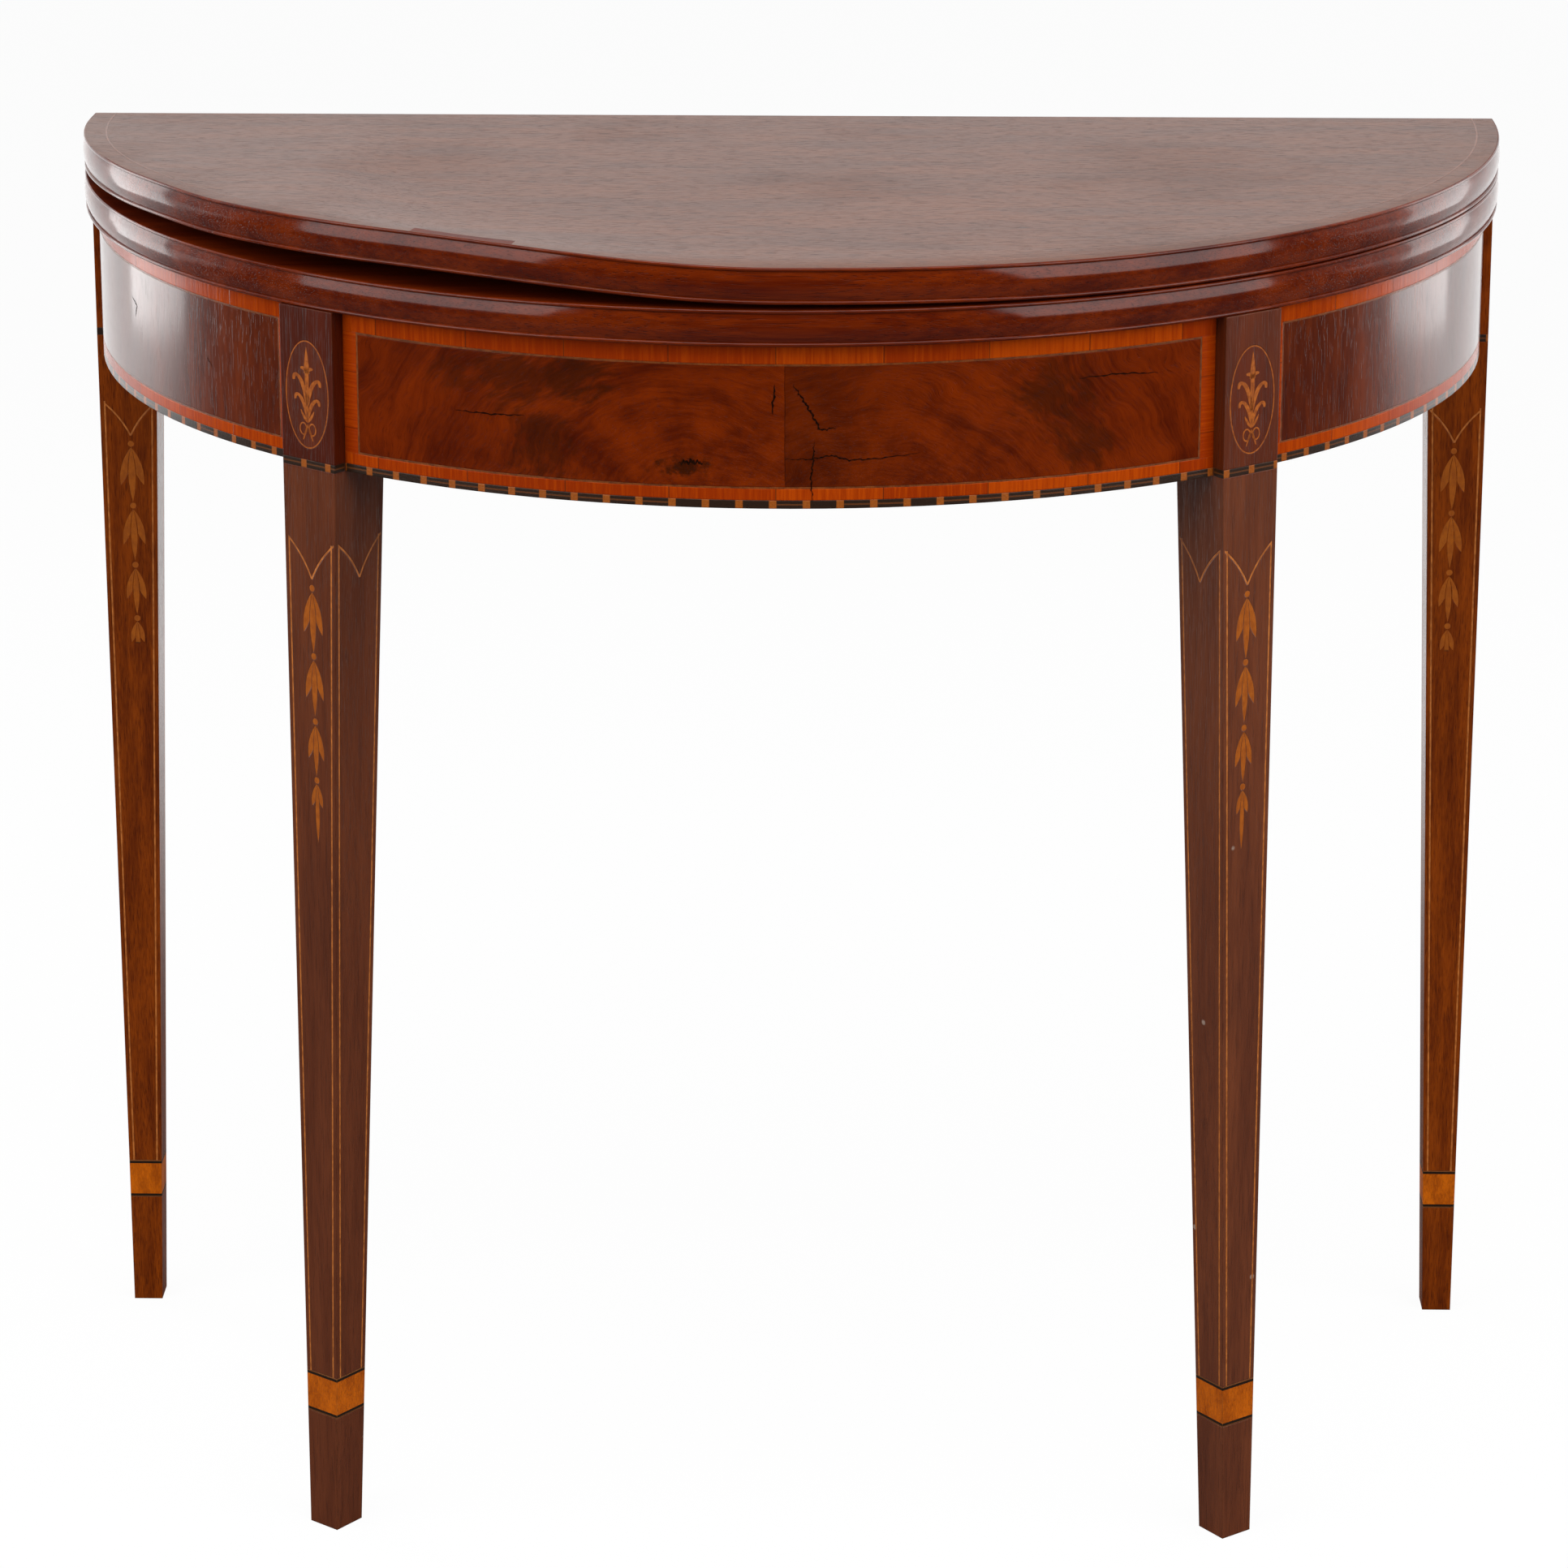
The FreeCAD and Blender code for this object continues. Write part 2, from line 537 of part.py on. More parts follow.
def shaft(name, leg, left="0", right="0", front="0", back="0"):
    """The tapered part of a leg from floor to apron, with each face moved in by a given amount."""
    item = doc.addObject("Part::Wedge", name)
    item.Placement = FreeCAD.Placement(Vector(), Rotation(Vector(1, 0, 0), 90))
    half = leg["width"] + " / 2"
    return bind(item, {
        "Ymin": 0,
        "Ymax": "place.apron_z",
        "Xmin": "-%s + %s + %s" % (half, leg["inner"], left),
        "Xmax": "%s - %s" % (half, right),
        "Zmin": "-(%s - %s - %s)" % (leg["depth"], leg["back"], back),
        "Zmax": "-(%s + %s)" % (leg["front"], front),
        "X2min": "-%s + %s" % (half, left),
        "X2max": "%s - %s" % (half, right),
        "Z2min": "-(%s - %s)" % (leg["depth"], back),
        "Z2max": "-(%s)" % front,
    })


def vee_arcs(name, leg, half_width, turned):
    """The two curved lines that meet in a point at the head of a leg panel."""
    ring = cut(name + "_ring",
               rod(name + "_big", "size.vee_radius + size.line_width / 2", "3 * " + leg["depth"],
                   ("-place.vee_out", "-" + leg["depth"], "place.vee_z - place.vee_down"), "y"),
               rod(name + "_small", "size.vee_radius - size.line_width / 2", "3 * " + leg["depth"],
                   ("-place.vee_out", "-" + leg["depth"], "place.vee_z - place.vee_down"), "y"))
    window = box(name + "_window", half_width + " - size.line_inset", "3 * " + leg["depth"],
                 "2 * size.vee_drop",
                 ("-(%s - size.line_inset)" % half_width, "-" + leg["depth"], "place.vee_z"))
    arc = common(name + "_arc", ring, window)
    pair = fuse(name + "_pair", arc, mirror(name + "_twin", arc))
    if not turned:
        return pair
    swung = group(name + "_swung", [pair])
    swung.Placement = FreeCAD.Placement(Vector(), Rotation(Vector(0, 0, 1), 90))
    return bind(swung, spot(0, leg["depth"] + " / 2", 0))


def leg_lines(name, leg, on_side):
    """String lines let into one face of a leg, with their pointed head."""
    out = "-%d" % OVERSHOOT
    wide = {"left": out, "right": out, "front": out, "back": out}
    skin_inner = dict(wide)
    inset, beyond = "size.line_inset", "(size.line_inset + size.line_width)"
    if on_side:
        skin_inner["left"] = "size.inlay_depth"
        outer_sides = {**wide, "front": inset, "back": inset}
        inner_sides = {**wide, "front": beyond, "back": beyond, "left": "2 * " + out, "right": "2 * " + out}
    else:
        skin_inner["front"] = "size.inlay_depth"
        outer_sides = {**wide, "left": inset, "right": inset}
        inner_sides = {**wide, "left": beyond, "right": beyond, "front": "2 * " + out, "back": "2 * " + out}
    skin = cut(name + "_skin", shaft(name + "_whole", leg), shaft(name + "_core", leg, **skin_inner))
    tracks = cut(name + "_tracks", shaft(name + "_outer", leg, **outer_sides),
                 shaft(name + "_inner", leg, **inner_sides))
    slab = box(name + "_slab", "4 * " + leg["width"], "4 * " + leg["depth"],
               "place.apron_z - size.line_top - size.cuff_low - size.cuff_height",
               ("-2 * " + leg["width"], "-2 * " + leg["depth"], "size.cuff_low + size.cuff_height"))
    run = common(name + "_run", skin, tracks, slab)
    across = leg["depth"] if on_side else leg["width"]
    head = common(name + "_head", skin, vee_arcs(name + "_vee", leg, across + " / 2", on_side))
    return fuse(name, run, head), skin


def petal(name, length, width, at, hand):
    """A pointed petal hanging from its tip, made where two rods cross."""
    bend = "((pow(%s; 2) + pow(%s; 2)) / (4 * %s))" % (length, width, width)
    aside = "%s - %s / 2" % (bend, width)
    one, two = [rod(name + "_edge", bend, 4 * OVERSHOOT, (x, -2 * OVERSHOOT, "-%s / 2" % length), "y")
                for x in (aside, "-(%s)" % aside)]
    lens = common(name + "_lens", one, two)
    hung = group(name, [lens])
    if hand:
        hung.Placement = FreeCAD.Placement(Vector(), Rotation(Vector(0, hand, 0), size("petal_tilt")))
    return bind(hung, spot(*at, turn="size.petal_tilt" if hand else None))


def leg_husks(name, leg, skin):
    """A chain of husks with a dot over each, let into the front face of a leg."""
    pieces = []
    for stem, *_ in HUSKS:
        husk = "%s_%s" % (name, stem)
        top = "place.apron_z - size.%s_drop" % stem
        length = "size.%s_length" % stem
        wide = "(size.%s_width * size.middle_petal_share)" % stem
        side_wide = "(size.%s_width * size.side_petal_share)" % stem
        pieces.append(petal(husk + "_middle", length, wide, (0, 0, top), 0))
        room = petal(husk + "_room", "(%s + 2 * size.petal_gap)" % length, "(%s + 2 * size.petal_gap)" % wide,
                     (0, 0, top + " + size.petal_gap"), 0)
        for hand in (-1, 1):
            side = petal(husk + "_side", "size.%s_side" % stem, side_wide, (0, 0, top), hand)
            pieces.append(cut(husk + "_beside", side, room))
        pieces.append(rod(husk + "_dot", "size.dot_radius", 4 * OVERSHOOT,
                          (0, -2 * OVERSHOOT, top + " + size.dot_radius + size.dot_gap"), "y"))
    return [common(name + "_let_in", skin, piece) for piece in pieces]


def leg_blank(name, leg, top):
    """A plain leg in its own frame, its outer face at Y = 0."""
    die = box(name + "_die", leg["width"], leg["depth"], top + " - place.apron_z",
              ("-%s / 2" % leg["width"], 0, "place.apron_z"))
    return fuse(name + "_blank", die, shaft(name + "_shaft", leg))


def inlay_leg(name, leg, solid, band_depth):
    """A leg with the inlays that are let into it, and those inlays."""
    half = leg["width"] + " / 2"
    band = cut(name + "_band",
               box(name + "_band_out", leg["width"], band_depth, "size.dash_height",
                   ("-" + half, 0, "place.apron_z")),
               box(name + "_band_in", leg["width"] + " - 2 * size.inlay_depth", band_depth, "size.dash_height",
                   ("-%s + size.inlay_depth" % half, "size.inlay_depth", "place.apron_z")))
    deep = "size.inlay_depth"
    cuff = common(name + "_cuff",
                  cut(name + "_cuff_skin", shaft(name + "_cuff_out", leg),
                      shaft(name + "_cuff_in", leg, deep, deep, deep, deep)),
                  box(name + "_cuff_slab", "2 * " + leg["width"], "2 * " + leg["depth"], "size.cuff_height",
                      ("-" + leg["width"], "-%s / 2" % leg["depth"], "size.cuff_low")))
    front_lines, skin = leg_lines(name + "_front_line", leg, False)
    side_lines, _ = leg_lines(name + "_side_line", leg, True)
    husks = leg_husks(name + "_husk", leg, skin)
    banded = cut(name + "_banded", solid, band, cuff)
    solid = cut(name + "_let", banded, front_lines, side_lines, *husks)
    lines = [front_lines, side_lines]
    return solid, {"die_band": [band], "cuff": [cuff], "string_lines": lines, "husks": husks}


def publish_leg(stem, solid, inlays, where):
    """Place a right-hand leg with its inlays, and mirror them to the left."""
    right = {"": group(stem + "_right", [solid])}
    for inlay, pieces in inlays.items():
        right["_" + inlay] = group("%s_right_%s" % (stem, inlay), pieces)
    for suffix, item in right.items():
        bind(item, where)
        publish("%s_right%s" % (stem, suffix), item)
        publish("%s_left%s" % (stem, suffix), mirror("%s_left%s" % (stem, suffix), item))


def make_front_legs():
    """Front legs, set square to the curve and slotted over the apron core."""
    leg = {"width": "size.front_leg_width", "depth": "size.front_leg_depth", "inner": "size.front_leg_taper",
           "front": "0", "back": "size.front_leg_taper"}
    slot = cut("bridle_slot",
               rod("slot_outer", "place.tongue_outer + size.seat_gap", "size.apron_height",
                   (0, "place.die_radius", "place.apron_z")),
               rod("slot_inner", "place.tongue_inner - size.seat_gap", "size.apron_height",
                   (0, "place.die_radius", "place.apron_z")))
    rim = doc.addObject("Part::Ellipse", "oval_rim")
    rim.Placement = FreeCAD.Placement(Vector(), Rotation(Vector(1, 0, 0), 90) * Rotation(Vector(0, 0, 1), 90))
    bind(rim, {"MajorRadius": "place.oval_height / 2", "MinorRadius": "size.oval_width / 2",
               **spot(0, 0, "place.lower_z - size.oval_top - place.oval_height / 2")})
    oval = doc.addObject("Part::Extrusion", "oval")
    oval.Base = rim
    oval.DirMode = "Custom"
    oval.Dir = Vector(0, 1, 0)
    oval.Solid = True
    bind(oval, {"LengthFwd": "size.inlay_depth"})
    solid = cut("front_leg_slotted", leg_blank("front_leg", leg, "place.lower_z"), slot, oval)
    solid, inlays = inlay_leg("front_leg", leg, solid, "size.die_proud")
    inlays["oval"] = [oval]
    publish_leg("front_leg", solid, inlays, spot("place.leg_x", "place.leg_y", 0, "size.leg_angle"))


def make_rear_legs():
    """Rear legs, square to the table, tenoned and pegged to their fly rails."""
    leg = {"width": "size.rear_leg_width", "depth": "size.rear_leg_depth", "inner": "size.rear_inner_taper",
           "front": "size.rear_front_taper", "back": "0"}
    solid = leg_blank("rear_leg", leg, "place.rail_top_z")
    solid = cut("rear_leg_mortised", solid, tenon("mortise", "size.inlay_gap"))
    pegs = []
    holes = []
    for index, height in enumerate(PEG_SHARES):
        at = ("-size.rear_leg_width / 2 + size.tenon_length / 2", "size.rear_leg_depth - size.peg_length",
              "place.rail_low_z + place.rail_height * " + height)
        pegs.append(rod("peg%d" % index, "size.peg_radius", "size.peg_length", at, "y"))
        loose = "size.peg_radius + size.running_gap"
        holes.append(rod("peg_hole%d" % index, loose, "size.peg_length", at, "y"))
    solid = cut("rear_leg_drilled", solid, *holes)
    solid, inlays = inlay_leg("rear_leg", leg, solid, leg["depth"])
    inlays["pegs"] = pegs
    publish_leg("rear_leg", solid, inlays, spot("place.rear_x", "place.rear_front_y", 0))


def tenon(name, spare):
    """The fly rail's tenon in the rear leg's own frame, with spare room for the mortise."""
    return box(name, "size.tenon_length + 2 * (%s)" % spare, "size.tenon_thickness + 2 * (%s)" % spare,
               "place.rail_height - 2 * size.tenon_shoulder + 2 * (%s)" % spare,
               ("-size.rear_leg_width / 2 - (%s)" % spare,
                "(size.rail_thickness - size.tenon_thickness) / 2 - (%s)" % spare,
                "place.rail_low_z + size.tenon_shoulder - (%s)" % spare))


# Gates and back rail

def finger(name, level, towards):
    """One finger of a wooden knuckle, rounded about the pivot and running back to its shoulder."""
    low = "place.rail_low_z + %d * place.finger_pitch + size.finger_gap / 2" % level
    tall = "place.finger_pitch - size.finger_gap"
    start = "size.pivot_x" if towards > 0 else "size.pivot_x - place.shoulder - %d" % OVERSHOOT
    arm = box(name + "_arm", "place.shoulder + %d" % OVERSHOOT, "size.rail_thickness", tall,
              (start, "place.rear_front_y", low))
    tip = rod(name + "_tip", "size.rail_thickness / 2", tall, ("size.pivot_x", "place.pin_y", low))
    return fuse(name, arm, tip)


def make_gates():
    """Fly rails that carry the rear legs, and the fixed block that they turn on."""
    bore = rod("pivot_bore", "size.pin_radius + size.running_gap", "place.rail_height",
               ("size.pivot_x", "place.pin_y", "place.rail_low_z"))
    rail_x = "size.pivot_x + place.shoulder"
    rail = box("fly_rail_bar", "place.rear_inner_x - (%s)" % rail_x, "size.rail_thickness", "place.rail_height",
               (rail_x, "place.rear_front_y", "place.rail_low_z"))
    rail_tenon = group("rail_tenon", [tenon("tenon", "0")])
    bind(rail_tenon, spot("place.rear_x", "place.rear_front_y", 0))
    rail_fingers = [finger("rail_finger%d" % level, level, 1) for level in (1, 3)]
    rail = cut("fly_rail", fuse("fly_rail_whole", rail, rail_tenon, *rail_fingers), bore)
    holes = []
    for index, height in enumerate(PEG_SHARES):
        holes.append(rod("tenon_hole%d" % index, "size.peg_radius + size.running_gap", "size.peg_length",
                   ("place.rear_inner_x + size.tenon_length / 2",
                    "place.rear_front_y + size.rear_leg_depth - size.peg_length",
                    "place.rail_low_z + place.rail_height * " + height), "y"))
    rail = cut("fly_rail_drilled", rail, *holes)
    publish("right_fly_rail", rail)
    publish("left_fly_rail", mirror("left_fly_rail", rail))
    pin = rod("right_pin", "size.pin_radius", "place.rail_height - 2 * size.pin_short",
              ("size.pivot_x", "place.pin_y", "place.rail_low_z + size.pin_short"))
    right_pin = publish("right_pivot_pin", pin)
    publish("left_pivot_pin", mirror("left_pin", right_pin))

    length = "2 * (size.pivot_x - place.shoulder)"
    block = box("knuckle_bar", length, "size.rail_thickness + size.gate_gap", "place.rail_height",
                ("-(%s) / 2" % length, "place.apron_end_y", "place.rail_low_z"))
    block_fingers = [finger("block_finger%d" % level, level, -1) for level in (0, 2, 4)]
    right_fingers = [piece for item in block_fingers for piece in both("block_finger", item)]
    block = cut("knuckle_whole", fuse("knuckle_fused", block, *right_fingers), *both("block_bore", bore))

    rail = back_rail()
    screws = []
    holes = []
    for index, height in enumerate(SCREW_SHARES):
        at = ("size.pivot_x / 2", "place.rear_front_y + size.rail_thickness",
              "place.rail_low_z + place.rail_height * " + height)
        screws += both("block_screw", wood_screw("block_screw%d" % index, at, "0"))
        holes += both("block_hole", wood_screw("block_hole%d" % index, at, "size.running_gap"))
    publish("knuckle_block", cut("knuckle_drilled", block, *holes))
    publish("inner_back_rail", cut("back_rail_drilled", rail, *holes))
    publish("knuckle_block_screws", group("block_screws", screws))


def wood_screw(name, at, spare):
    """A screw driven forwards through the knuckle block into the back rail, or its hole."""
    x, y, z = at
    length = "size.rail_thickness + size.gate_gap + size.screw_bite"
    shank = rod(name + "_shank", "size.screw_radius + " + spare, "%s + %s" % (length, spare),
                (x, "%s - (%s) - (%s)" % (y, length, spare), z), "y")
    head = rod(name + "_head", "size.screw_head_radius + " + spare, "size.screw_head_height",
               (x, "%s - size.screw_head_height" % y, z), "y")
    return fuse(name, shank, head)


def back_rail():
    """The fixed rail across the back, tenoned into the ends of the curved core."""
    bar = common("back_bar",
                 box("back_bar_box", "2 * size.leaf_radius", "size.back_rail_thickness", "place.rail_height",
                     ("-size.leaf_radius", "place.back_rail_y", "place.rail_low_z")),
                 rod("back_bar_end", "place.core_inner - size.seat_gap", "size.table_height",
                     (0, "place.centre_y", 0)))
    stubs = common("back_stubs",
                   box("back_stub_box", "2 * size.leaf_radius", "size.stub_thickness",
                       "place.rail_height - 2 * size.tenon_shoulder",
                       ("-size.leaf_radius", stub_y(), "place.rail_low_z + size.tenon_shoulder")),
                   rod("back_stub_end", "place.core_inner + size.stub_length", "size.table_height",
                       (0, "place.centre_y", 0)))
    return fuse("back_rail", bar, stubs)


# Fixing blocks and the screws that hold the lower leaf

def make_fixings(lower):
    """Blocks glued inside the apron, each with a screw up into the lower leaf."""
    blocks = []
    screws = []
    for index, angle in enumerate(("size.block_front_angle", "size.block_side_angle")):
        name = "fixing%d" % index
        reach = "(place.core_inner - size.block_depth)"
        blank = box(name + "_blank", "size.block_width", "2 * size.block_depth", "size.block_height",
                    ("-size.block_width / 2", "-%s - 2 * size.block_depth" % reach,
                     "place.lower_z - size.block_height"))
        round_end = rod(name + "_round", "place.core_inner - size.seat_gap", "size.table_height", (0, 0, 0))
        rounded = common(name + "_rounded", blank, round_end)
        at = (0, "-%s - size.block_depth / 2" % reach, "place.lower_z - size.block_height")
        drilled = cut(name + "_drilled", rounded, leaf_screw(name + "_hole", at, "size.running_gap"))
        where = spot(0, "place.centre_y", 0, angle)
        block = bind(group(name + "_block", [drilled]), where)
        screw = bind(group(name + "_screw", [leaf_screw(name + "_driven", at, "0")]), where)
        pilot = bind(group(name + "_pilot", [leaf_screw(name + "_bite", at, "size.running_gap")]), where)
        blocks += both(name + "_block", block)
        screws += both(name + "_screw", screw)
        lower = cut("lower_piloted", lower, *both(name + "_pilot", pilot))
    publish("fixing_blocks", group("fixing_block_set", blocks))
    publish("top_screws", group("top_screw_set", screws))
    publish("lower_leaf", lower)


def leaf_screw(name, at, spare):
    """A screw driven up through a fixing block into the lower leaf, or its hole."""
    shank = rod(name + "_shank", "size.screw_radius + " + spare,
                "size.block_height + size.screw_bite + " + spare, at)
    head = rod(name + "_head", "size.screw_head_radius + " + spare, "size.screw_head_height", at)
    return fuse(name, shank, head)


def check_and_write():
    """Stop on any failed object or bad shape, then write one file for each sub-part."""
    doc.recompute()
    failed = [item.Name for item in doc.Objects if "Invalid" in item.State or "Error" in item.State]
    if failed:
        raise SystemExit("failed objects: " + ", ".join(failed))
    for label, item in nodes.items():
        shape = item.Shape
        if shape.isNull() or not shape.isValid() or not shape.Solids:
            raise SystemExit("bad shape: " + label)
    os.makedirs("parts", exist_ok=True)
    for label, item in nodes.items():
        item.Shape.exportStep("parts/%s.step" % label)
        bounds = item.Shape.BoundBox
        print("%-28s %2d solids  x %7.1f %7.1f  y %7.1f %7.1f  z %6.1f %6.1f" % (
            label, len(item.Shape.Solids), bounds.XMin, bounds.XMax, bounds.YMin, bounds.YMax,
            bounds.ZMin, bounds.ZMax))


fill_sheets()
lower_board = make_leaves()
make_apron()
make_front_legs()
make_rear_legs()
make_gates()
make_fixings(lower_board)
check_and_write()
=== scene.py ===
"""Looks of a half-round folding games table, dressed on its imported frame.

Every piece is in metres in the frame's own axes: X across the table, Y to the back, Z up.
"""
import logging
import math
from collections.abc import Iterable, Sequence
from dataclasses import dataclass
from enum import Enum

import bmesh
import bpy
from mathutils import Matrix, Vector


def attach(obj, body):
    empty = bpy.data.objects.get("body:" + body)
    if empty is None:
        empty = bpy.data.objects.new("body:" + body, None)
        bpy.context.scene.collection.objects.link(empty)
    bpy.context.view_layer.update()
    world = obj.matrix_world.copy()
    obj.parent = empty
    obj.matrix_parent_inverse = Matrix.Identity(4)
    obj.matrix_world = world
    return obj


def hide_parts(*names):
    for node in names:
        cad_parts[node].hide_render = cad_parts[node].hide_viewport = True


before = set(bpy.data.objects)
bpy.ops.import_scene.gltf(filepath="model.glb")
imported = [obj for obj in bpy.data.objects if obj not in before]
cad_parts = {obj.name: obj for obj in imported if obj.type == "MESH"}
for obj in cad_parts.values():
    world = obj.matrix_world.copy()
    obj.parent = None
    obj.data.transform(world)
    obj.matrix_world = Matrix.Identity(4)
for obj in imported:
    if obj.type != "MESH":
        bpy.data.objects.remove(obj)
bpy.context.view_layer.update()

log = logging.getLogger("games_table")

Colour = tuple[float, float, float]
Point = tuple[float, float, float]
Spot = tuple[float, float]
Bend = tuple[Spot, Spot, Spot]
Socket = bpy.types.NodeSocket
Outputs = bpy.types.NodeOutputs
Material = bpy.types.Material
Mesh = bmesh.types.BMesh
Feed = Socket | float | Sequence[float]
Feeds = dict[str | int, Feed]

FLOAT = "NodeSocketFloat"
VECTOR = "NodeSocketVector"
COLOUR = "NodeSocketColor"

WHITE: Colour = (1.0, 1.0, 1.0)
SHARP_TURN = math.radians(40)


class GrainRun(Enum):
    """Which way the grain of a wooden piece runs."""

    ALONG = "X"
    DEEP = "Y"
    UPRIGHT = "Z"


class Side(Enum):
    """The two ends of the table, with the sign of their X."""

    LEFT = -1
    RIGHT = 1

    @property
    def word(self) -> str:
        """The side's name as the nodes spell it."""
        return self.name.lower()


@dataclass(frozen=True)
class TableSizes:
    """Sizes and places that more than one piece needs."""

    back_y: float = 0.2174
    curve_y: float = 0.2054
    top_z: float = 0.7764
    leaf: float = 0.0202
    leaf_radius: float = 0.428
    apron_radius: float = 0.420
    apron_z: float = 0.6446
    dash_height: float = 0.0046
    panel_low_z: float = 0.6557
    panel_high_z: float = 0.7246
    die_radius: float = 0.428
    leg_turn: float = math.radians(37.5)


TABLE = TableSizes()


class Wiring:
    """Adds nodes to one tree and joins their sockets."""

    def __init__(self, tree: bpy.types.NodeTree) -> None:
        """Keep the tree that the nodes go in."""
        self.tree = tree

    def feed(self, node: bpy.types.Node, feeds: Feeds) -> None:
        """Link a socket to each input that is named, or set its plain value.

        Args:
            node: The node whose inputs are fed.
            feeds: Sockets or plain values by the input's name or number.
        """
        for key, value in feeds.items():
            if isinstance(value, Socket):
                self.tree.links.new(value, node.inputs[key])
                continue
            socket = node.inputs[key]
            if socket.type == "RGBA" and len(value) == 3:
                value = (*value, 1.0)
            socket.default_value = value

    def node(self, kind: str, feeds: Feeds | None = None, **settings: object) -> bpy.types.Node:
        """Add one node.

        Args:
            kind: The node's type name.
            feeds: Sockets or plain values for its inputs.
            settings: Properties of the node itself.

        Returns:
            The new node.
        """
        made = self.tree.nodes.new(kind)
        for name, value in settings.items():
            setattr(made, name, value)
        self.feed(made, feeds or {})
        return made

    def math(self, operation: str, *feeds: Feed) -> Socket:
        """Work out one number from others."""
        return self.node("ShaderNodeMath", dict(enumerate(feeds)), operation=operation).outputs[0]

    def plus(self, first: Feed, second: Feed) -> Socket:
        """Add two numbers."""
        return self.math("ADD", first, second)

    def minus(self, first: Feed, second: Feed) -> Socket:
        """Take the second number from the first."""
        return self.math("SUBTRACT", first, second)

    def times(self, first: Feed, second: Feed) -> Socket:
        """Multiply two numbers."""
        return self.math("MULTIPLY", first, second)

    def length(self, across: Feed, above: Feed) -> Socket:
        """How far a point is from the origin of two axes."""
        return self.math("SQRT", self.plus(self.times(across, across), self.times(above, above)))

    def vector(self, operation: str, *feeds: Feed) -> Socket:
        """Work out one vector from others."""
        return self.node("ShaderNodeVectorMath", dict(enumerate(feeds)), operation=operation).outputs[0]

    def joined(self, x: Feed, y: Feed, z: Feed) -> Socket:
        """Put three numbers together as a vector."""
        return self.node("ShaderNodeCombineXYZ", {0: x, 1: y, 2: z}).outputs[0]

    def parts(self, vector: Socket) -> list[Socket]:
        """Take a vector's three numbers apart."""
        return list(self.node("ShaderNodeSeparateXYZ", {0: vector}).outputs)

    def noise(self, place: Feed, scale: Feed = 1.0, detail: float = 2.0, rough: float = 0.5) -> Socket:
        """Soft noise at a place."""
        return self.node("ShaderNodeTexNoise", {"Vector": place, "Scale": scale, "Detail": detail,
                                                "Roughness": rough}).outputs[0]

    def stretched(self, spot: tuple[Feed, Feed, Feed], scales: Spot, detail: float,
                  rough: float = 0.5) -> Socket:
        """Noise that is drawn out along one way of a surface.

        Args:
            spot: Two places on the surface, and a third number that sets patterns apart.
            scales: How fine the noise is along each of the two ways.
            detail: How many finer layers it has.
            rough: How strong the finer layers are.

        Returns:
            The noise.
        """
        place = self.joined(self.times(spot[0], scales[0]), self.times(spot[1], scales[1]), spot[2])
        return self.noise(place, 1.0, detail, rough)

    def step(self, value: Feed, low: float, high: float) -> Socket:
        """Rise smoothly from 0 at the low value to 1 at the high one."""
        made = self.node("ShaderNodeMapRange", {"Value": value, "From Min": low, "From Max": high},
                         interpolation_type="SMOOTHSTEP")
        return made.outputs[0]

    def mix(self, amount: Feed, first: Feed, second: Feed, blend: str = "MIX") -> Socket:
        """Mix two colours."""
        made = self.node("ShaderNodeMix", {0: amount, 6: first, 7: second}, data_type="RGBA",
                         blend_type=blend)
        return made.outputs[2]

    def place(self) -> Socket:
        """The surface point in the table's own axes at rest."""
        return self.node("ShaderNodeTexCoord").outputs["Object"]


class Effect:
    """A shader node group that is built once and placed in each material with its own values."""

    name = ""
    inputs: dict[str, str] = {}
    outputs: dict[str, str] = {}

    @classmethod
    def wire(cls, wiring: Wiring, given: Outputs) -> dict[str, Socket]:
        """Add the group's inner nodes.

        Args:
            wiring: The group's own tree.
            given: The group's inputs, by name.

        Returns:
            The socket behind each output.
        """
        raise NotImplementedError

    @classmethod
    def build(cls) -> bpy.types.NodeTree:
        """Make the group with its named sockets."""
        tree = bpy.data.node_groups.new(cls.name, "ShaderNodeTree")
        for name, kind in cls.inputs.items():
            tree.interface.new_socket(name, in_out="INPUT", socket_type=kind)
        for name, kind in cls.outputs.items():
            tree.interface.new_socket(name, in_out="OUTPUT", socket_type=kind)
        wiring = Wiring(tree)
        given = wiring.node("NodeGroupInput")
        wiring.node("NodeGroupOutput", cls.wire(wiring, given.outputs))
        return tree

    @classmethod
    def use(cls, wiring: Wiring, feeds: Feeds) -> Outputs:
        """Place the group in a material.

        Args:
            wiring: The material's tree.
            feeds: Sockets or plain values for the group's inputs.

        Returns:
            The outputs of the placed group.
        """
        made = wiring.node("ShaderNodeGroup", node_tree=bpy.data.node_groups.get(cls.name) or cls.build())
        wiring.feed(made, feeds)
        return made.outputs


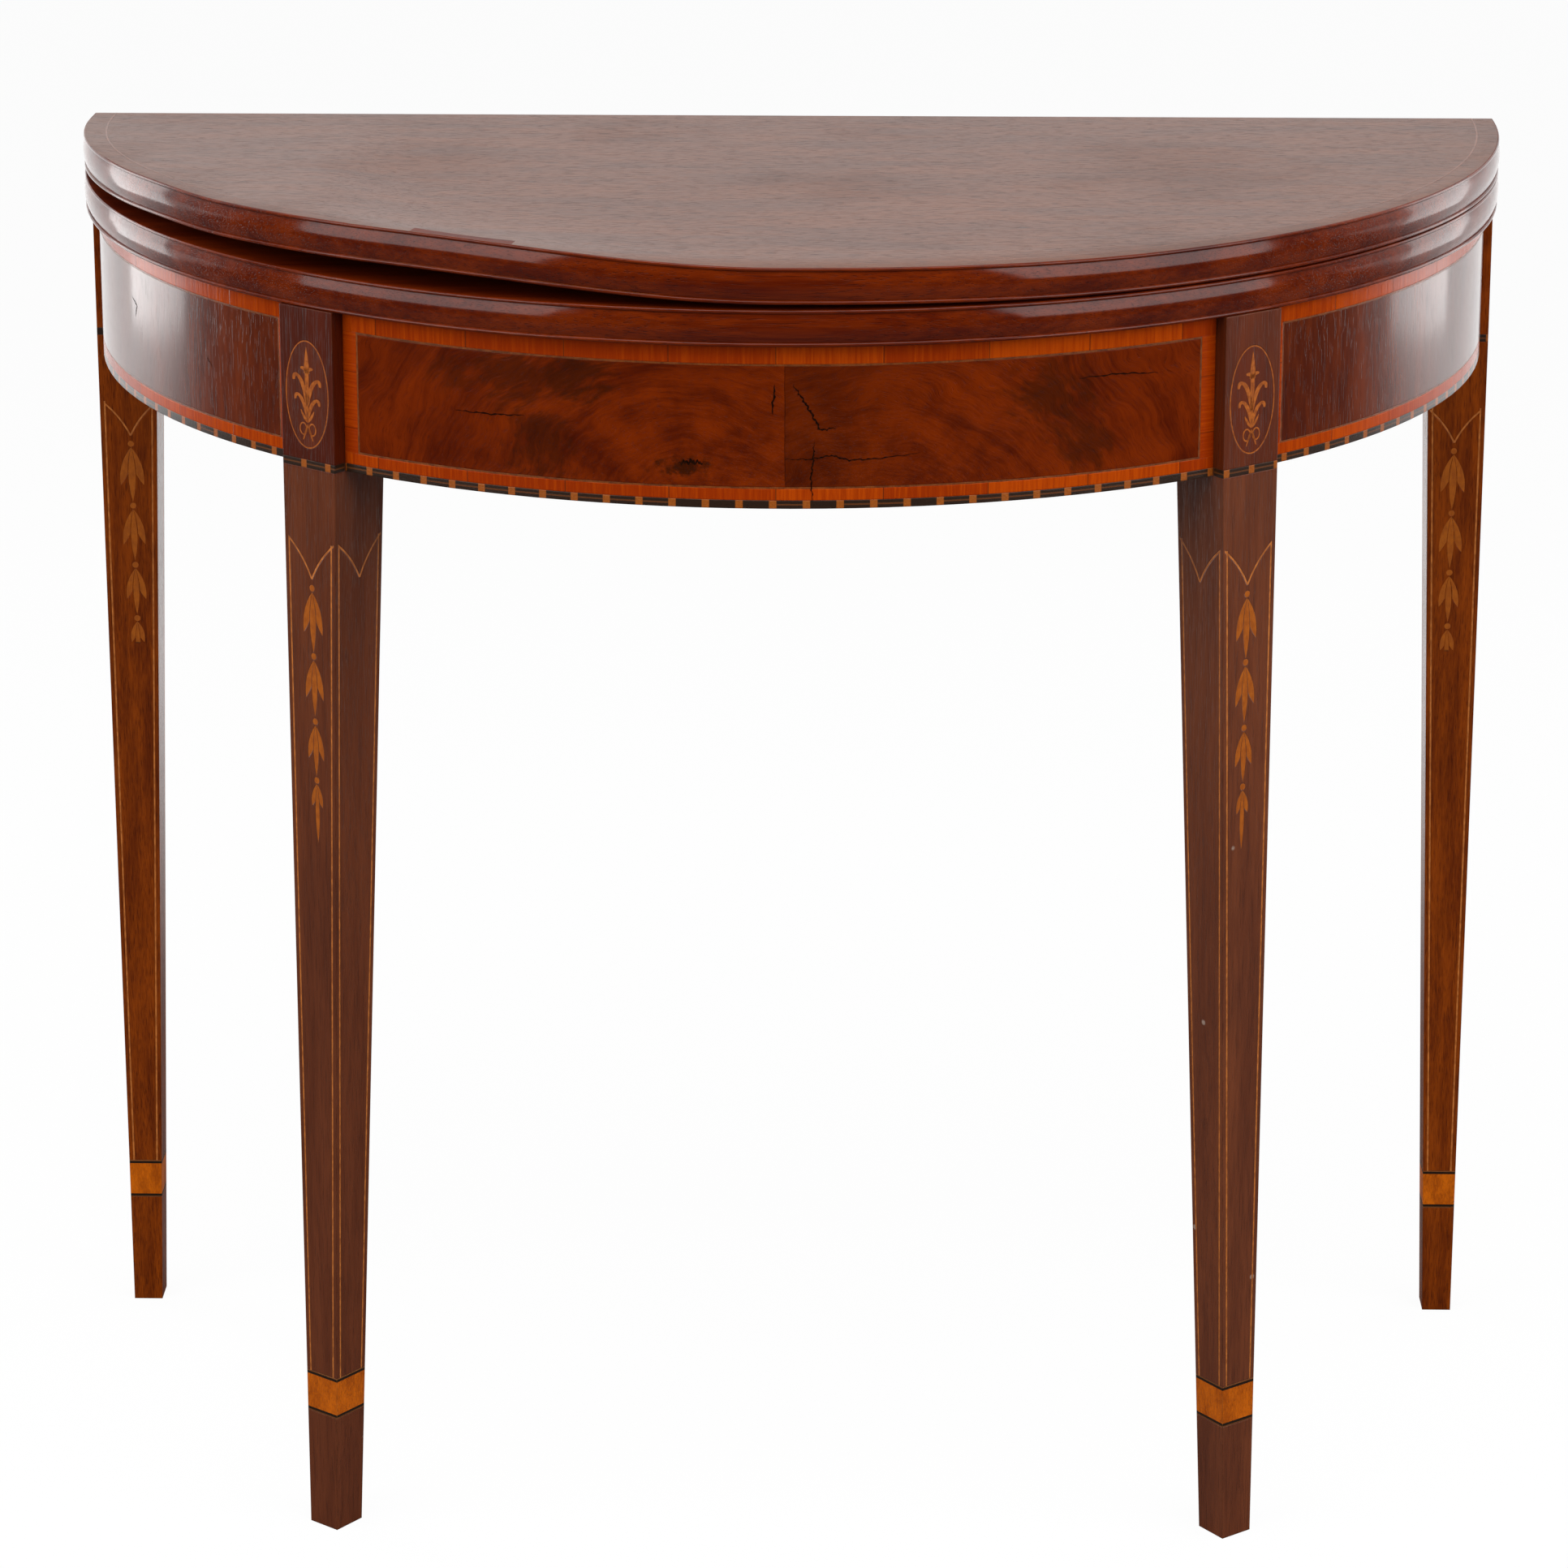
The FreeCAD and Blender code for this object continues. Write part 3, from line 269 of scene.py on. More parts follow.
class WoodGrain(Effect):
    """Bands, streaks and open pores that run along the third axis of the place."""

    name = "wood_grain"
    inputs = {"Place": VECTOR, "Light": COLOUR, "Dark": COLOUR, "Bands": FLOAT, "Stretch": FLOAT,
              "Swirl": FLOAT, "Pores": FLOAT}
    outputs = {"Colour": COLOUR, "Height": FLOAT}
    sway_scale: Point = (9.0, 9.0, 2.5)
    pore_scale: Point = (26.0, 26.0, 9.0)
    pore_tint: Colour = (0.3, 0.22, 0.2)

    @classmethod
    def wire(cls, wiring: Wiring, given: Outputs) -> dict[str, Socket]:
        """Add the nodes of the grain."""
        slow = wiring.node("ShaderNodeTexNoise", {
            "Vector": wiring.vector("MULTIPLY", given["Place"], cls.sway_scale), "Scale": 1.0})
        sway = wiring.vector("SUBTRACT", slow.outputs["Color"], (0.5, 0.5, 0.5))
        sway = wiring.vector("MULTIPLY", sway, wiring.joined(given["Swirl"], given["Swirl"], given["Swirl"]))
        bent = wiring.vector("ADD", given["Place"], sway)
        along = wiring.times(given["Bands"], given["Stretch"])
        squeezed = wiring.vector("MULTIPLY", bent, wiring.joined(given["Bands"], given["Bands"], along))
        broad = wiring.noise(squeezed, 1.0, 3.0)
        fine = wiring.noise(squeezed, 7.0, 4.0, 0.6)
        thin = wiring.vector("MULTIPLY", squeezed, cls.pore_scale)
        pits = wiring.step(wiring.noise(thin, 1.0, 1.0), 0.58, 0.7)
        tone = wiring.plus(wiring.times(broad, 1.5), wiring.times(fine, 1.1))
        tone = wiring.step(tone, 0.85, 1.75)
        colour = wiring.mix(tone, given["Dark"], given["Light"])
        colour = wiring.mix(wiring.times(pits, given["Pores"]), colour, cls.pore_tint, "MULTIPLY")
        height = wiring.minus(wiring.times(fine, 0.5), pits)
        return {"Colour": colour, "Height": height}


class SoftEdge(Effect):
    """The rounded normal of a handled edge and a mask of where the edge is."""

    name = "soft_edge"
    inputs = {"Radius": FLOAT}
    outputs = {"Normal": VECTOR, "Edge": FLOAT}

    @classmethod
    def wire(cls, wiring: Wiring, given: Outputs) -> dict[str, Socket]:
        """Add the nodes of the edge."""
        rounded = wiring.node("ShaderNodeBevel", {"Radius": given["Radius"]}, samples=6).outputs[0]
        flat = wiring.node("ShaderNodeNewGeometry").outputs["Normal"]
        agree = wiring.node("ShaderNodeVectorMath", {0: rounded, 1: flat}, operation="DOT_PRODUCT")
        edge = wiring.step(wiring.minus(1.0, agree.outputs["Value"]), 0.01, 0.25)
        return {"Normal": rounded, "Edge": edge}


class OldPolish(Effect):
    """Cloudy polish, rubbed edges and small pale knocks over any finish."""

    name = "old_polish"
    inputs = {"Place": VECTOR, "Colour": COLOUR, "Edge": FLOAT, "Rubbed": COLOUR, "Knocks": FLOAT,
              "Rough": FLOAT}
    outputs = {"Colour": COLOUR, "Roughness": FLOAT}
    cloud_scale = 11.0
    cloud_amount = 0.12
    cloud_tint: Colour = (0.45, 0.4, 0.38)
    rub_scale = 60.0
    rub_amount = 0.45
    knock_scale = 62.0
    knock_size: Spot = (0.06, 0.13)
    knock_colour: Colour = (0.34, 0.25, 0.2)

    @classmethod
    def wire(cls, wiring: Wiring, given: Outputs) -> dict[str, Socket]:
        """Add the nodes of the wear."""
        cloud = wiring.noise(given["Place"], cls.cloud_scale, 3.0)
        shade = wiring.times(wiring.step(cloud, 0.5, 0.75), cls.cloud_amount)
        colour = wiring.mix(shade, given["Colour"], cls.cloud_tint, "MULTIPLY")
        patchy = wiring.step(wiring.noise(given["Place"], cls.rub_scale, 2.0), 0.4, 0.65)
        rubbed = wiring.times(wiring.times(given["Edge"], patchy), cls.rub_amount)
        colour = wiring.mix(rubbed, colour, given["Rubbed"])
        dots = wiring.node("ShaderNodeTexVoronoi", {"Vector": given["Place"], "Scale": cls.knock_scale})
        dot = wiring.minus(1.0, wiring.step(dots.outputs["Distance"], *cls.knock_size))
        chosen = wiring.step(wiring.parts(dots.outputs["Color"])[0], 0.86, 0.88)
        knock = wiring.times(wiring.times(dot, chosen), given["Knocks"])
        colour = wiring.mix(knock, colour, cls.knock_colour)
        rough = wiring.plus(given["Rough"], wiring.times(shade, 0.35))
        rough = wiring.plus(rough, wiring.times(rubbed, 0.2))
        return {"Colour": colour, "Roughness": rough}


class CurveRun(Effect):
    """How far along the curved apron a point lies, measured from its middle, and how high."""

    name = "curve_run"
    inputs = {"Place": VECTOR}
    outputs = {"Run": FLOAT, "Rise": FLOAT}

    @classmethod
    def wire(cls, wiring: Wiring, given: Outputs) -> dict[str, Socket]:
        """Add the nodes that unroll the curve."""
        x, y, z = wiring.parts(given["Place"])
        turn = wiring.math("ARCTAN2", x, wiring.minus(TABLE.curve_y, y))
        return {"Run": wiring.times(turn, TABLE.apron_radius), "Rise": z}


class DashRow(Effect):
    """A row of dark dashes with a pale line through them and pale blocks between."""

    name = "dash_row"
    inputs = {"Run": FLOAT, "Rise": FLOAT, "Low": FLOAT, "Period": FLOAT}
    outputs = {"Colour": COLOUR, "Height": FLOAT}
    dash_start: Spot = (0.015, 0.045)
    dash_end: Spot = (0.795, 0.825)
    line_half: Spot = (0.0003, 0.0006)
    lined_share: Spot = (0.2, 0.22)
    grain_scale = 900.0

    @classmethod
    def wire(cls, wiring: Wiring, given: Outputs) -> dict[str, Socket]:
        """Add the nodes of the dashes."""
        count = wiring.math("DIVIDE", given["Run"], given["Period"])
        share = wiring.math("FRACT", count)
        index = wiring.math("FLOOR", count)
        whole = wiring.node("ShaderNodeTexWhiteNoise", {"W": index}, noise_dimensions="1D").outputs["Value"]
        dash = wiring.minus(wiring.step(share, *cls.dash_start), wiring.step(share, *cls.dash_end))
        rise = wiring.minus(given["Rise"], given["Low"])
        middle = wiring.math("ABSOLUTE", wiring.minus(rise, TABLE.dash_height / 2))
        line = wiring.minus(1.0, wiring.step(middle, *cls.line_half))
        line = wiring.times(line, wiring.step(whole, *cls.lined_share))
        grain = wiring.noise(wiring.joined(given["Run"], rise, 0.0), cls.grain_scale, 3.0)
        dark = wiring.mix(grain, (0.012, 0.006, 0.003), (0.03, 0.012, 0.005))
        pale = wiring.mix(grain, (0.2, 0.045, 0.004), (0.38, 0.1, 0.01))
        brown = wiring.mix(grain, (0.07, 0.022, 0.006), (0.13, 0.04, 0.01))
        colour = wiring.mix(line, dark, brown)
        colour = wiring.mix(dash, pale, colour)
        return {"Colour": colour, "Height": grain}


@dataclass(frozen=True)
class Polish:
    """How a finish shines and wears."""

    rough: float = 0.24
    coat: float = 0.25
    specular: float = 0.25
    bump: float = 0.0003
    edge: float = 0.0009
    rubbed: Colour = (0.2, 0.08, 0.035)
    knocks: float = 0.0
    metal: float = 0.0
    level_rough: float = 0.0
    relief: float = 0.6
    coat_rough: float = 0.1

    def surface(self, wiring: Wiring, colour: Feed, height: Feed) -> None:
        """Join colour and height to the shader, with old polish and soft edges.

        Args:
            wiring: The material's tree.
            colour: The finish's own colour.
            height: The finish's own relief.
        """
        edge = SoftEdge.use(wiring, {"Radius": self.edge})
        old = OldPolish.use(wiring, {"Place": wiring.place(), "Colour": colour, "Edge": edge["Edge"],
                                     "Rubbed": self.rubbed, "Knocks": self.knocks, "Rough": self.rough})
        rough, coat = old["Roughness"], self.coat
        if self.level_rough:
            facing = wiring.parts(wiring.node("ShaderNodeNewGeometry").outputs["Normal"])[2]
            level = wiring.step(wiring.math("ABSOLUTE", facing), 0.85, 0.97)
            rough = wiring.plus(rough, wiring.times(level, self.level_rough))
            coat = wiring.times(wiring.minus(1.0, level), self.coat)
        relief = wiring.node("ShaderNodeBump", {"Strength": self.relief, "Distance": self.bump,
                                                "Height": height, "Normal": edge["Normal"]})
        shader = wiring.node("ShaderNodeBsdfPrincipled", {
            "Base Color": old["Colour"], "Roughness": rough, "Normal": relief.outputs[0],
            "Metallic": self.metal, "Coat Weight": coat, "Coat Roughness": self.coat_rough,
            "Specular IOR Level": self.specular})
        wiring.node("ShaderNodeOutputMaterial", {"Surface": shader.outputs[0]})


def fresh_material(name: str) -> tuple[Material, Wiring]:
    """Make an empty node material.

    Args:
        name: The finish's name.

    Returns:
        The material and the wiring of its tree.
    """
    material = bpy.data.materials.new(name)
    material.use_nodes = True
    material.node_tree.nodes.clear()
    return material, Wiring(material.node_tree)


class Finish:
    """A material that a pattern and a polish make together."""

    name: str
    polish: Polish

    def pattern(self, wiring: Wiring) -> tuple[Feed, Feed]:
        """Add the nodes of the finish's own pattern.

        Args:
            wiring: The material's tree.

        Returns:
            Its colour and its relief.
        """
        raise NotImplementedError

    def material(self) -> Material:
        """Make the finish's material."""
        material, wiring = fresh_material(self.name)
        self.polish.surface(wiring, *self.pattern(wiring))
        return material


@dataclass(frozen=True)
class Wood(Finish):
    """A wood with its grain in one direction."""

    name: str
    light: Colour
    dark: Colour
    run: GrainRun = GrainRun.UPRIGHT
    bands: float = 55.0
    stretch: float = 0.07
    swirl: float = 0.012
    pores: float = 0.5
    # Darkens the block above the apron's foot: partly its darker polish, partly painted shade under the
    # leaves.
    block_tint_and_shade: Colour = WHITE
    block_fade: float = 0.002
    polish: Polish = Polish()

    def pattern(self, wiring: Wiring) -> tuple[Feed, Feed]:
        """Add the nodes of the wood."""
        x, y, z = wiring.parts(wiring.place())
        order = {GrainRun.ALONG: (y, z, x), GrainRun.DEEP: (z, x, y), GrainRun.UPRIGHT: (x, y, z)}[self.run]
        grain = WoodGrain.use(wiring, {
            "Place": wiring.joined(*order), "Light": self.light, "Dark": self.dark, "Bands": self.bands,
            "Stretch": self.stretch, "Swirl": self.swirl, "Pores": self.pores})
        # Above the apron's foot the colour takes the block's tint, which holds painted shade under the
        # leaves as well as darker polish.
        block = wiring.step(z, TABLE.apron_z - self.block_fade, TABLE.apron_z + self.block_fade)
        colour = wiring.mix(block, grain["Colour"], self.block_tint_and_shade, "MULTIPLY")
        return colour, grain["Height"]


@dataclass(frozen=True)
class FlameVeneer(Finish):
    """Book-matched flame mahogany, with its figure sweeping out from both sides of a seam.

    Each dark curl has its run, its rise, half its width, half its height and how dark it is.
    """

    name: str = "flame_veneer"
    light: Colour = (0.18, 0.02, 0.0003)
    middle: Colour = (0.05, 0.0036, 0.0002)
    dark: Colour = (0.034, 0.0055, 0.0004)
    seam: float = 0.005
    heart_run: float = 0.045
    heart_z: float = 0.632
    heart_squash: float = 1.3
    sway: float = 0.05
    sway_scale: Spot = (12.0, 18.0)
    broad_scale: Spot = (30.0, 2.4)
    fine_scale: Spot = (420.0, 4.0)
    streak_scale: Spot = (130.0, 2.0)
    fray_scale: Spot = (130.0, 7.0)
    pore_scale: Spot = (2600.0, 24.0)
    pore_tint: Colour = (0.35, 0.28, 0.25)
    fray: float = 3.4
    seam_shade: float = 0.34
    deepest_shade: float = 0.95
    curls: tuple[tuple[float, float, float, float, float], ...] = (
        (-0.142, 0.711, 0.036, 0.019, 0.6), (-0.113, 0.714, 0.027, 0.015, 0.75),
        (-0.130, 0.676, 0.022, 0.024, 0.6), (-0.051, 0.668, 0.015, 0.0055, 0.95),
        (-0.184, 0.710, 0.015, 0.011, 0.5), (0.1525, 0.702, 0.024, 0.024, 0.65),
        (0.172, 0.676, 0.018, 0.022, 0.6))
    polish: Polish = Polish(rough=0.2, coat=0.06, specular=0.08)

    def curl_shade(self, wiring: Wiring, place: Outputs, wander: Feed) -> Feed:
        """Shade the veneer round its dark curls.

        Args:
            wiring: The material's tree.
            place: Run and rise on the curved apron.
            wander: Noise that frays the edges of the curls.

        Returns:
            How dark each point is.
        """
        shade = 0.0
        fray = wiring.times(wiring.minus(wander, 0.5), self.fray)
        for run, rise, half_run, half_rise, strength in self.curls:
            across = wiring.math("DIVIDE", wiring.minus(place["Run"], run), half_run)
            above = wiring.math("DIVIDE", wiring.minus(place["Rise"], rise), half_rise)
            away = wiring.plus(wiring.length(across, above), fray)
            near = wiring.minus(1.0, wiring.step(away, 0.2, 1.25))
            shade = wiring.math("MAXIMUM", shade, wiring.times(near, strength))
        return shade

    def pattern(self, wiring: Wiring) -> tuple[Feed, Feed]:
        """Add the nodes of the veneer."""
        place = CurveRun.use(wiring, {"Place": wiring.place()})
        offset = wiring.minus(place["Run"], self.seam)
        mirrored = wiring.math("ABSOLUTE", offset)
        half = wiring.math("SIGN", offset)
        bend = wiring.stretched((mirrored, place["Rise"], half), self.sway_scale, 3.0)
        sway = wiring.times(wiring.minus(bend, 0.5), self.sway)
        across = wiring.minus(mirrored, self.heart_run)
        above = wiring.times(wiring.minus(place["Rise"], self.heart_z), self.heart_squash)
        rings = wiring.plus(wiring.length(across, above), sway)
        spot = (rings, wiring.math("ARCTAN2", above, across), half)
        broad = wiring.stretched(spot, self.broad_scale, 4.0, 0.6)
        fine = wiring.stretched(spot, self.fine_scale, 3.0, 0.65)
        streak = wiring.stretched(spot, self.streak_scale, 3.0)
        wander = wiring.stretched(spot, self.fray_scale, 4.0, 0.62)
        tone = wiring.plus(wiring.times(broad, 0.95), wiring.times(fine, 0.4))
        tone = wiring.plus(tone, wiring.times(streak, 0.35))
        colour = wiring.mix(wiring.step(tone, 0.5, 1.15), self.middle, self.light)
        by_seam = wiring.minus(wiring.step(offset, 0.0, 0.0006), wiring.step(offset, 0.01, 0.09))
        shade = wiring.plus(self.curl_shade(wiring, place, wander), wiring.times(by_seam, self.seam_shade))
        colour = wiring.mix(wiring.math("MINIMUM", shade, self.deepest_shade), colour, self.dark)
        pores = wiring.stretched(spot, self.pore_scale, 1.0)
        pits = wiring.step(pores, 0.6, 0.72)
        colour = wiring.mix(wiring.times(pits, 0.45), colour, self.pore_tint, "MULTIPLY")
        return colour, wiring.minus(fine, pits)


@dataclass(frozen=True)
class CrossBanding(Finish):
    """Satinwood banding in short butted lengths, with its grain across the band."""

    name: str = "satinwood_crossbanding"
    light: Colour = (0.43, 0.056, 0.0008)
    dark: Colour = (0.26, 0.024, 0.0005)
    length: float = 0.058
    upright_length: float = 0.0319
    grain: Spot = (620.0, 28.0)
    panel_fade: float = 0.0002
    joint_width: Spot = (0.004, 0.012)
    joint_colour: Colour = (0.05, 0.016, 0.004)
    polish: Polish = Polish(rough=0.16, coat=0.12, specular=0.08, rubbed=(0.42, 0.12, 0.02))

    def pattern(self, wiring: Wiring) -> tuple[Feed, Feed]:
        """Add the nodes of the banding."""
        place = CurveRun.use(wiring, {"Place": wiring.place()})
        run, rise = place["Run"], place["Rise"]
        above_foot = wiring.step(rise, TABLE.panel_low_z, TABLE.panel_low_z + self.panel_fade)
        below_head = wiring.step(rise, TABLE.panel_high_z, TABLE.panel_high_z - self.panel_fade)
        beside = wiring.times(above_foot, below_head)
        first = wiring.stretched((run, rise, 0.0), self.grain, 4.0, 0.65)
        second = wiring.stretched((run, rise, 5.0), self.grain[::-1], 4.0, 0.65)
        streak = wiring.node("ShaderNodeMix", {0: beside, 2: first, 3: second}).outputs[0]
        run_count = wiring.math("DIVIDE", run, self.length)
        rise_count = wiring.math("DIVIDE", rise, self.upright_length)
        count = wiring.node("ShaderNodeMix", {0: beside, 2: run_count, 3: rise_count}).outputs[0]
        index = wiring.math("FLOOR", count)
        share = wiring.math("FRACT", count)
        tint = wiring.node("ShaderNodeTexWhiteNoise", {"W": index}, noise_dimensions="1D").outputs["Value"]
        tone = wiring.plus(wiring.times(streak, 1.2), wiring.times(tint, 0.4))
        colour = wiring.mix(wiring.step(tone, 0.5, 1.15), self.dark, self.light)
        joint = wiring.minus(1.0, wiring.step(share, *self.joint_width))
        colour = wiring.mix(wiring.times(joint, 0.75), colour, self.joint_colour)
        return colour, wiring.minus(streak, joint)


@dataclass(frozen=True)
class Dashes(Finish):
    """Dashed banding round the foot of the curved apron, or along the turned face of a square block."""

    name: str
    turn: float | None = None
    start: float = 0.0
    period: float = 0.0182
    polish: Polish = Polish(rough=0.32)

    def pattern(self, wiring: Wiring) -> tuple[Feed, Feed]:
        """Add the nodes of the banding."""
        if self.turn is None:
            place = CurveRun.use(wiring, {"Place": wiring.place()})
            run, rise = place["Run"], place["Rise"]
        else:
            x, y, rise = wiring.parts(wiring.place())
            face = wiring.plus(wiring.times(x, math.cos(self.turn)), wiring.times(y, math.sin(self.turn)))
            run = wiring.minus(face, self.start)
        row = DashRow.use(wiring, {"Run": run, "Rise": rise, "Low": TABLE.apron_z, "Period": self.period})
        return row["Colour"], row["Height"]


@dataclass(frozen=True)
class Cuff(Finish):
    """Satinwood ankle band between two dark lines."""

    name: str = "cuff_satinwood"
    low: float = 0.0715
    high: float = 0.097
    light: Colour = (0.58, 0.125, 0.002)
    dark: Colour = (0.32, 0.06, 0.001)
    line: Colour = (0.015, 0.008, 0.004)
    rim: Colour = (0.16, 0.05, 0.012)
    line_edge: Spot = (0.0021, 0.0024)
    rim_edge: Spot = (0.0006, 0.0008)
    polish: Polish = Polish(rough=0.34, coat=0.1, specular=0.12, rubbed=(0.5, 0.22, 0.06))

    def pattern(self, wiring: Wiring) -> tuple[Feed, Feed]:
        """Add the nodes of the cuff."""
        place = wiring.place()
        z = wiring.parts(place)[2]
        grain = WoodGrain.use(wiring, {
            "Place": place, "Light": self.light, "Dark": self.dark, "Bands": 130.0, "Stretch": 0.35,
            "Swirl": 0.006, "Pores": 0.25})
        from_low = wiring.minus(z, self.low)
        from_high = wiring.minus(self.high, z)
        nearest = wiring.math("MINIMUM", from_low, from_high)
        ink = wiring.minus(1.0, wiring.step(nearest, *self.line_edge))
        pale = wiring.minus(1.0, wiring.step(nearest, *self.rim_edge))
        colour = wiring.mix(ink, grain["Colour"], self.line)
        colour = wiring.mix(pale, colour, self.rim)
        return colour, grain["Height"]


@dataclass(frozen=True)
class Inlay(Finish):
    """Small inlaid satinwood or boxwood, shaded in patches by hot sand."""

    name: str
    light: Colour
    dark: Colour
    scale: float = 260.0
    polish: Polish = Polish(rough=0.36, edge=0.0002, rubbed=(0.4, 0.17, 0.05))

    def pattern(self, wiring: Wiring) -> tuple[Feed, Feed]:
        """Add the nodes of the inlay."""
        place = wiring.place()
        patch = wiring.noise(place, self.scale, 2.0)
        thread = wiring.noise(wiring.vector("MULTIPLY", place, (6.0, 6.0, 1.0)), self.scale, 3.0)
        tone = wiring.plus(wiring.times(patch, 0.8), wiring.times(thread, 0.5))
        colour = wiring.mix(wiring.step(tone, 0.45, 0.85), self.dark, self.light)
        return colour, thread


@dataclass(frozen=True)
class AgedMetal(Finish):
    """Brass or iron that has darkened in patches."""

    name: str
    bright: Colour
    dull: Colour
    polish: Polish = Polish(rough=0.42, metal=1.0, edge=0.0003, rubbed=(0.6, 0.42, 0.2))

    def pattern(self, wiring: Wiring) -> tuple[Feed, Feed]:
        """Add the nodes of the metal."""
        place = wiring.place()
        tarnish = wiring.noise(place, 180.0, 4.0, 0.65)
        colour = wiring.mix(wiring.step(tarnish, 0.38, 0.68), self.bright, self.dull)
        scratch = wiring.noise(wiring.vector("MULTIPLY", place, (1.0, 8.0, 8.0)), 700.0, 2.0)
        return colour, scratch


@dataclass(frozen=True)
class Finishes:
    """The finishes of the table, one for each kind of surface."""

    # The front legs' block tints hold painted shade under the leaves as well as darker polish.
    leg_wood: Wood = Wood("leg_mahogany", (0.134, 0.033, 0.011), (0.088, 0.02, 0.0066), bands=70.0,
                          pores=0.35, block_tint_and_shade=(0.55, 0.25, 0.1),
                          polish=Polish(rough=0.34, coat=0.06, specular=0.18, rubbed=(0.2, 0.065, 0.025)))
    knocked_leg_wood: Wood = Wood("knocked_leg_mahogany", (0.155, 0.039, 0.0125), (0.098, 0.023, 0.0078),
                                  bands=70.0, pores=0.35, block_tint_and_shade=(0.8, 0.55, 0.3),
                                  polish=Polish(rough=0.34, coat=0.08, knocks=0.8,
                                                rubbed=(0.22, 0.085, 0.04)))
    rear_leg_wood: Wood = Wood("rear_leg_mahogany", (0.25, 0.045, 0.0015), (0.11, 0.016, 0.0006),
                               bands=120.0, stretch=0.1, pores=0.7,
                               polish=Polish(rough=0.2, coat=0.12, specular=0.12, rubbed=(0.26, 0.07, 0.01)))
    leaf_wood: Wood = Wood("leaf_mahogany", (0.145, 0.036, 0.005), (0.09, 0.021, 0.0035), GrainRun.ALONG,
                           bands=60.0, stretch=0.2, pores=0.9,
                           polish=Polish(rough=0.3, coat=0.0, specular=0.215, edge=0.0005))
    edge_wood: Wood = Wood("leaf_edge_mahogany", (0.145, 0.0165, 0.0005), (0.062, 0.0045, 0.0002),
                           GrainRun.ALONG, bands=60.0, stretch=0.06,
                           polish=Polish(rough=0.12, coat=0.42, specular=0.06, edge=0.0003, level_rough=0.3,
                                         rubbed=(0.15, 0.03, 0.002)))
    side_veneer: Wood = Wood("side_mahogany_veneer", (0.13, 0.019, 0.002), (0.058, 0.0065, 0.001),
                             bands=48.0, stretch=0.16, swirl=0.03,
                             polish=Polish(rough=0.22, coat=0.5, specular=0.12, bump=0.0001))
    inside_wood: Wood = Wood("plain_secondary_wood", (0.3, 0.16, 0.07), (0.17, 0.085, 0.035), GrainRun.ALONG,
                             bands=60.0, stretch=0.05, pores=0.3,
                             polish=Polish(rough=0.7, rubbed=(0.4, 0.25, 0.13)))
    block_wood: Wood = Wood("plain_block_wood", (0.27, 0.14, 0.06), (0.15, 0.07, 0.03), GrainRun.ALONG,
                            bands=75.0, pores=0.35,
                            polish=Polish(rough=0.7, rubbed=(0.36, 0.22, 0.11)))
    peg_wood: Wood = Wood("peg_wood", (0.19, 0.08, 0.03), (0.1, 0.035, 0.012), GrainRun.DEEP, bands=400.0,
                          polish=Polish(rough=0.5, edge=0.0003))
    line_wood: Inlay = Inlay("boxwood_line", (0.21, 0.05, 0.006), (0.1, 0.022, 0.003))
    leg_line_wood: Inlay = Inlay("leg_boxwood_line", (0.52, 0.16, 0.028), (0.3, 0.08, 0.012))
    husk_wood: Inlay = Inlay("husk_satinwood", (0.37, 0.09, 0.003), (0.28, 0.062, 0.002))
    spray_wood: Inlay = Inlay("spray_satinwood", (0.42, 0.108, 0.01), (0.24, 0.052, 0.005), scale=420.0)
    oval_wood: Wood = Wood("oval_ground", (0.115, 0.016, 0.0015), (0.07, 0.009, 0.001), bands=90.0,
                           polish=Polish(rough=0.36, edge=0.0002))
    brass: AgedMetal = AgedMetal("aged_brass", (0.3, 0.17, 0.055), (0.06, 0.036, 0.016))
    iron: AgedMetal = AgedMetal("dark_iron", (0.1, 0.085, 0.075), (0.035, 0.024, 0.02))
    cuff: Cuff = Cuff()
    flame: FlameVeneer = FlameVeneer()
    banding: CrossBanding = CrossBanding()
    dashes: Dashes = Dashes("apron_dashes")


FINISHES = Finishes()


def dress_node(name: str, material: Material) -> None:
    """Give a carried-over node its finish.

    Args:
        name: The node's name in the frame.
        material: The finish for all its slots.
    """
    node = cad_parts[name]
    if not node.material_slots:
        node.data.materials.append(material)
    for slot in node.material_slots:
        slot.material = material
    log.info("dressed %s in %s", name, material.name)


def new_piece(name: str, shape: Mesh, material: Material, body: str) -> bpy.types.Object:
    """Turn a mesh into a named piece that rides on a body.

    Args:
        name: The piece's name.
        shape: The mesh, which is used up.
        material: The piece's finish.
        body: The frame's body that carries it.

    Returns:
        The new object.
    """
    mesh = bpy.data.meshes.new(name)
    shape.to_mesh(mesh)
    shape.free()
    mesh.materials.append(material)
    mesh.shade_smooth()
    mesh.set_sharp_from_angle(angle=SHARP_TURN)
    piece = bpy.data.objects.new(name, mesh)
    bpy.context.scene.collection.objects.link(piece)
    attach(piece, body)
    log.info("built %s on %s with %d faces", name, body, len(mesh.polygons))
    return piece


def add_strip(shape: Mesh, pairs: Sequence[Sequence[Sequence[float]]], closed: bool = False) -> None:
    """Add a flat strip of faces between pairs of points.

    Args:
        shape: The mesh that takes it.
        pairs: The points on both sides of the strip, from its start to its end.
        closed: Whether its end meets its start.
    """
    corners = [[shape.verts.new(point) for point in pair] for pair in pairs]
    if closed:
        corners.append(corners[0])
    for (first, second), (third, fourth) in zip(corners, corners[1:]):
        shape.faces.new((first, second, fourth, third))


def rise_between(value: float, low: float, high: float) -> float:
    """Rise smoothly from 0 to 1 between two values."""
    share = min(1.0, max(0.0, (value - low) / (high - low)))
    return share * share * (3.0 - 2.0 * share)


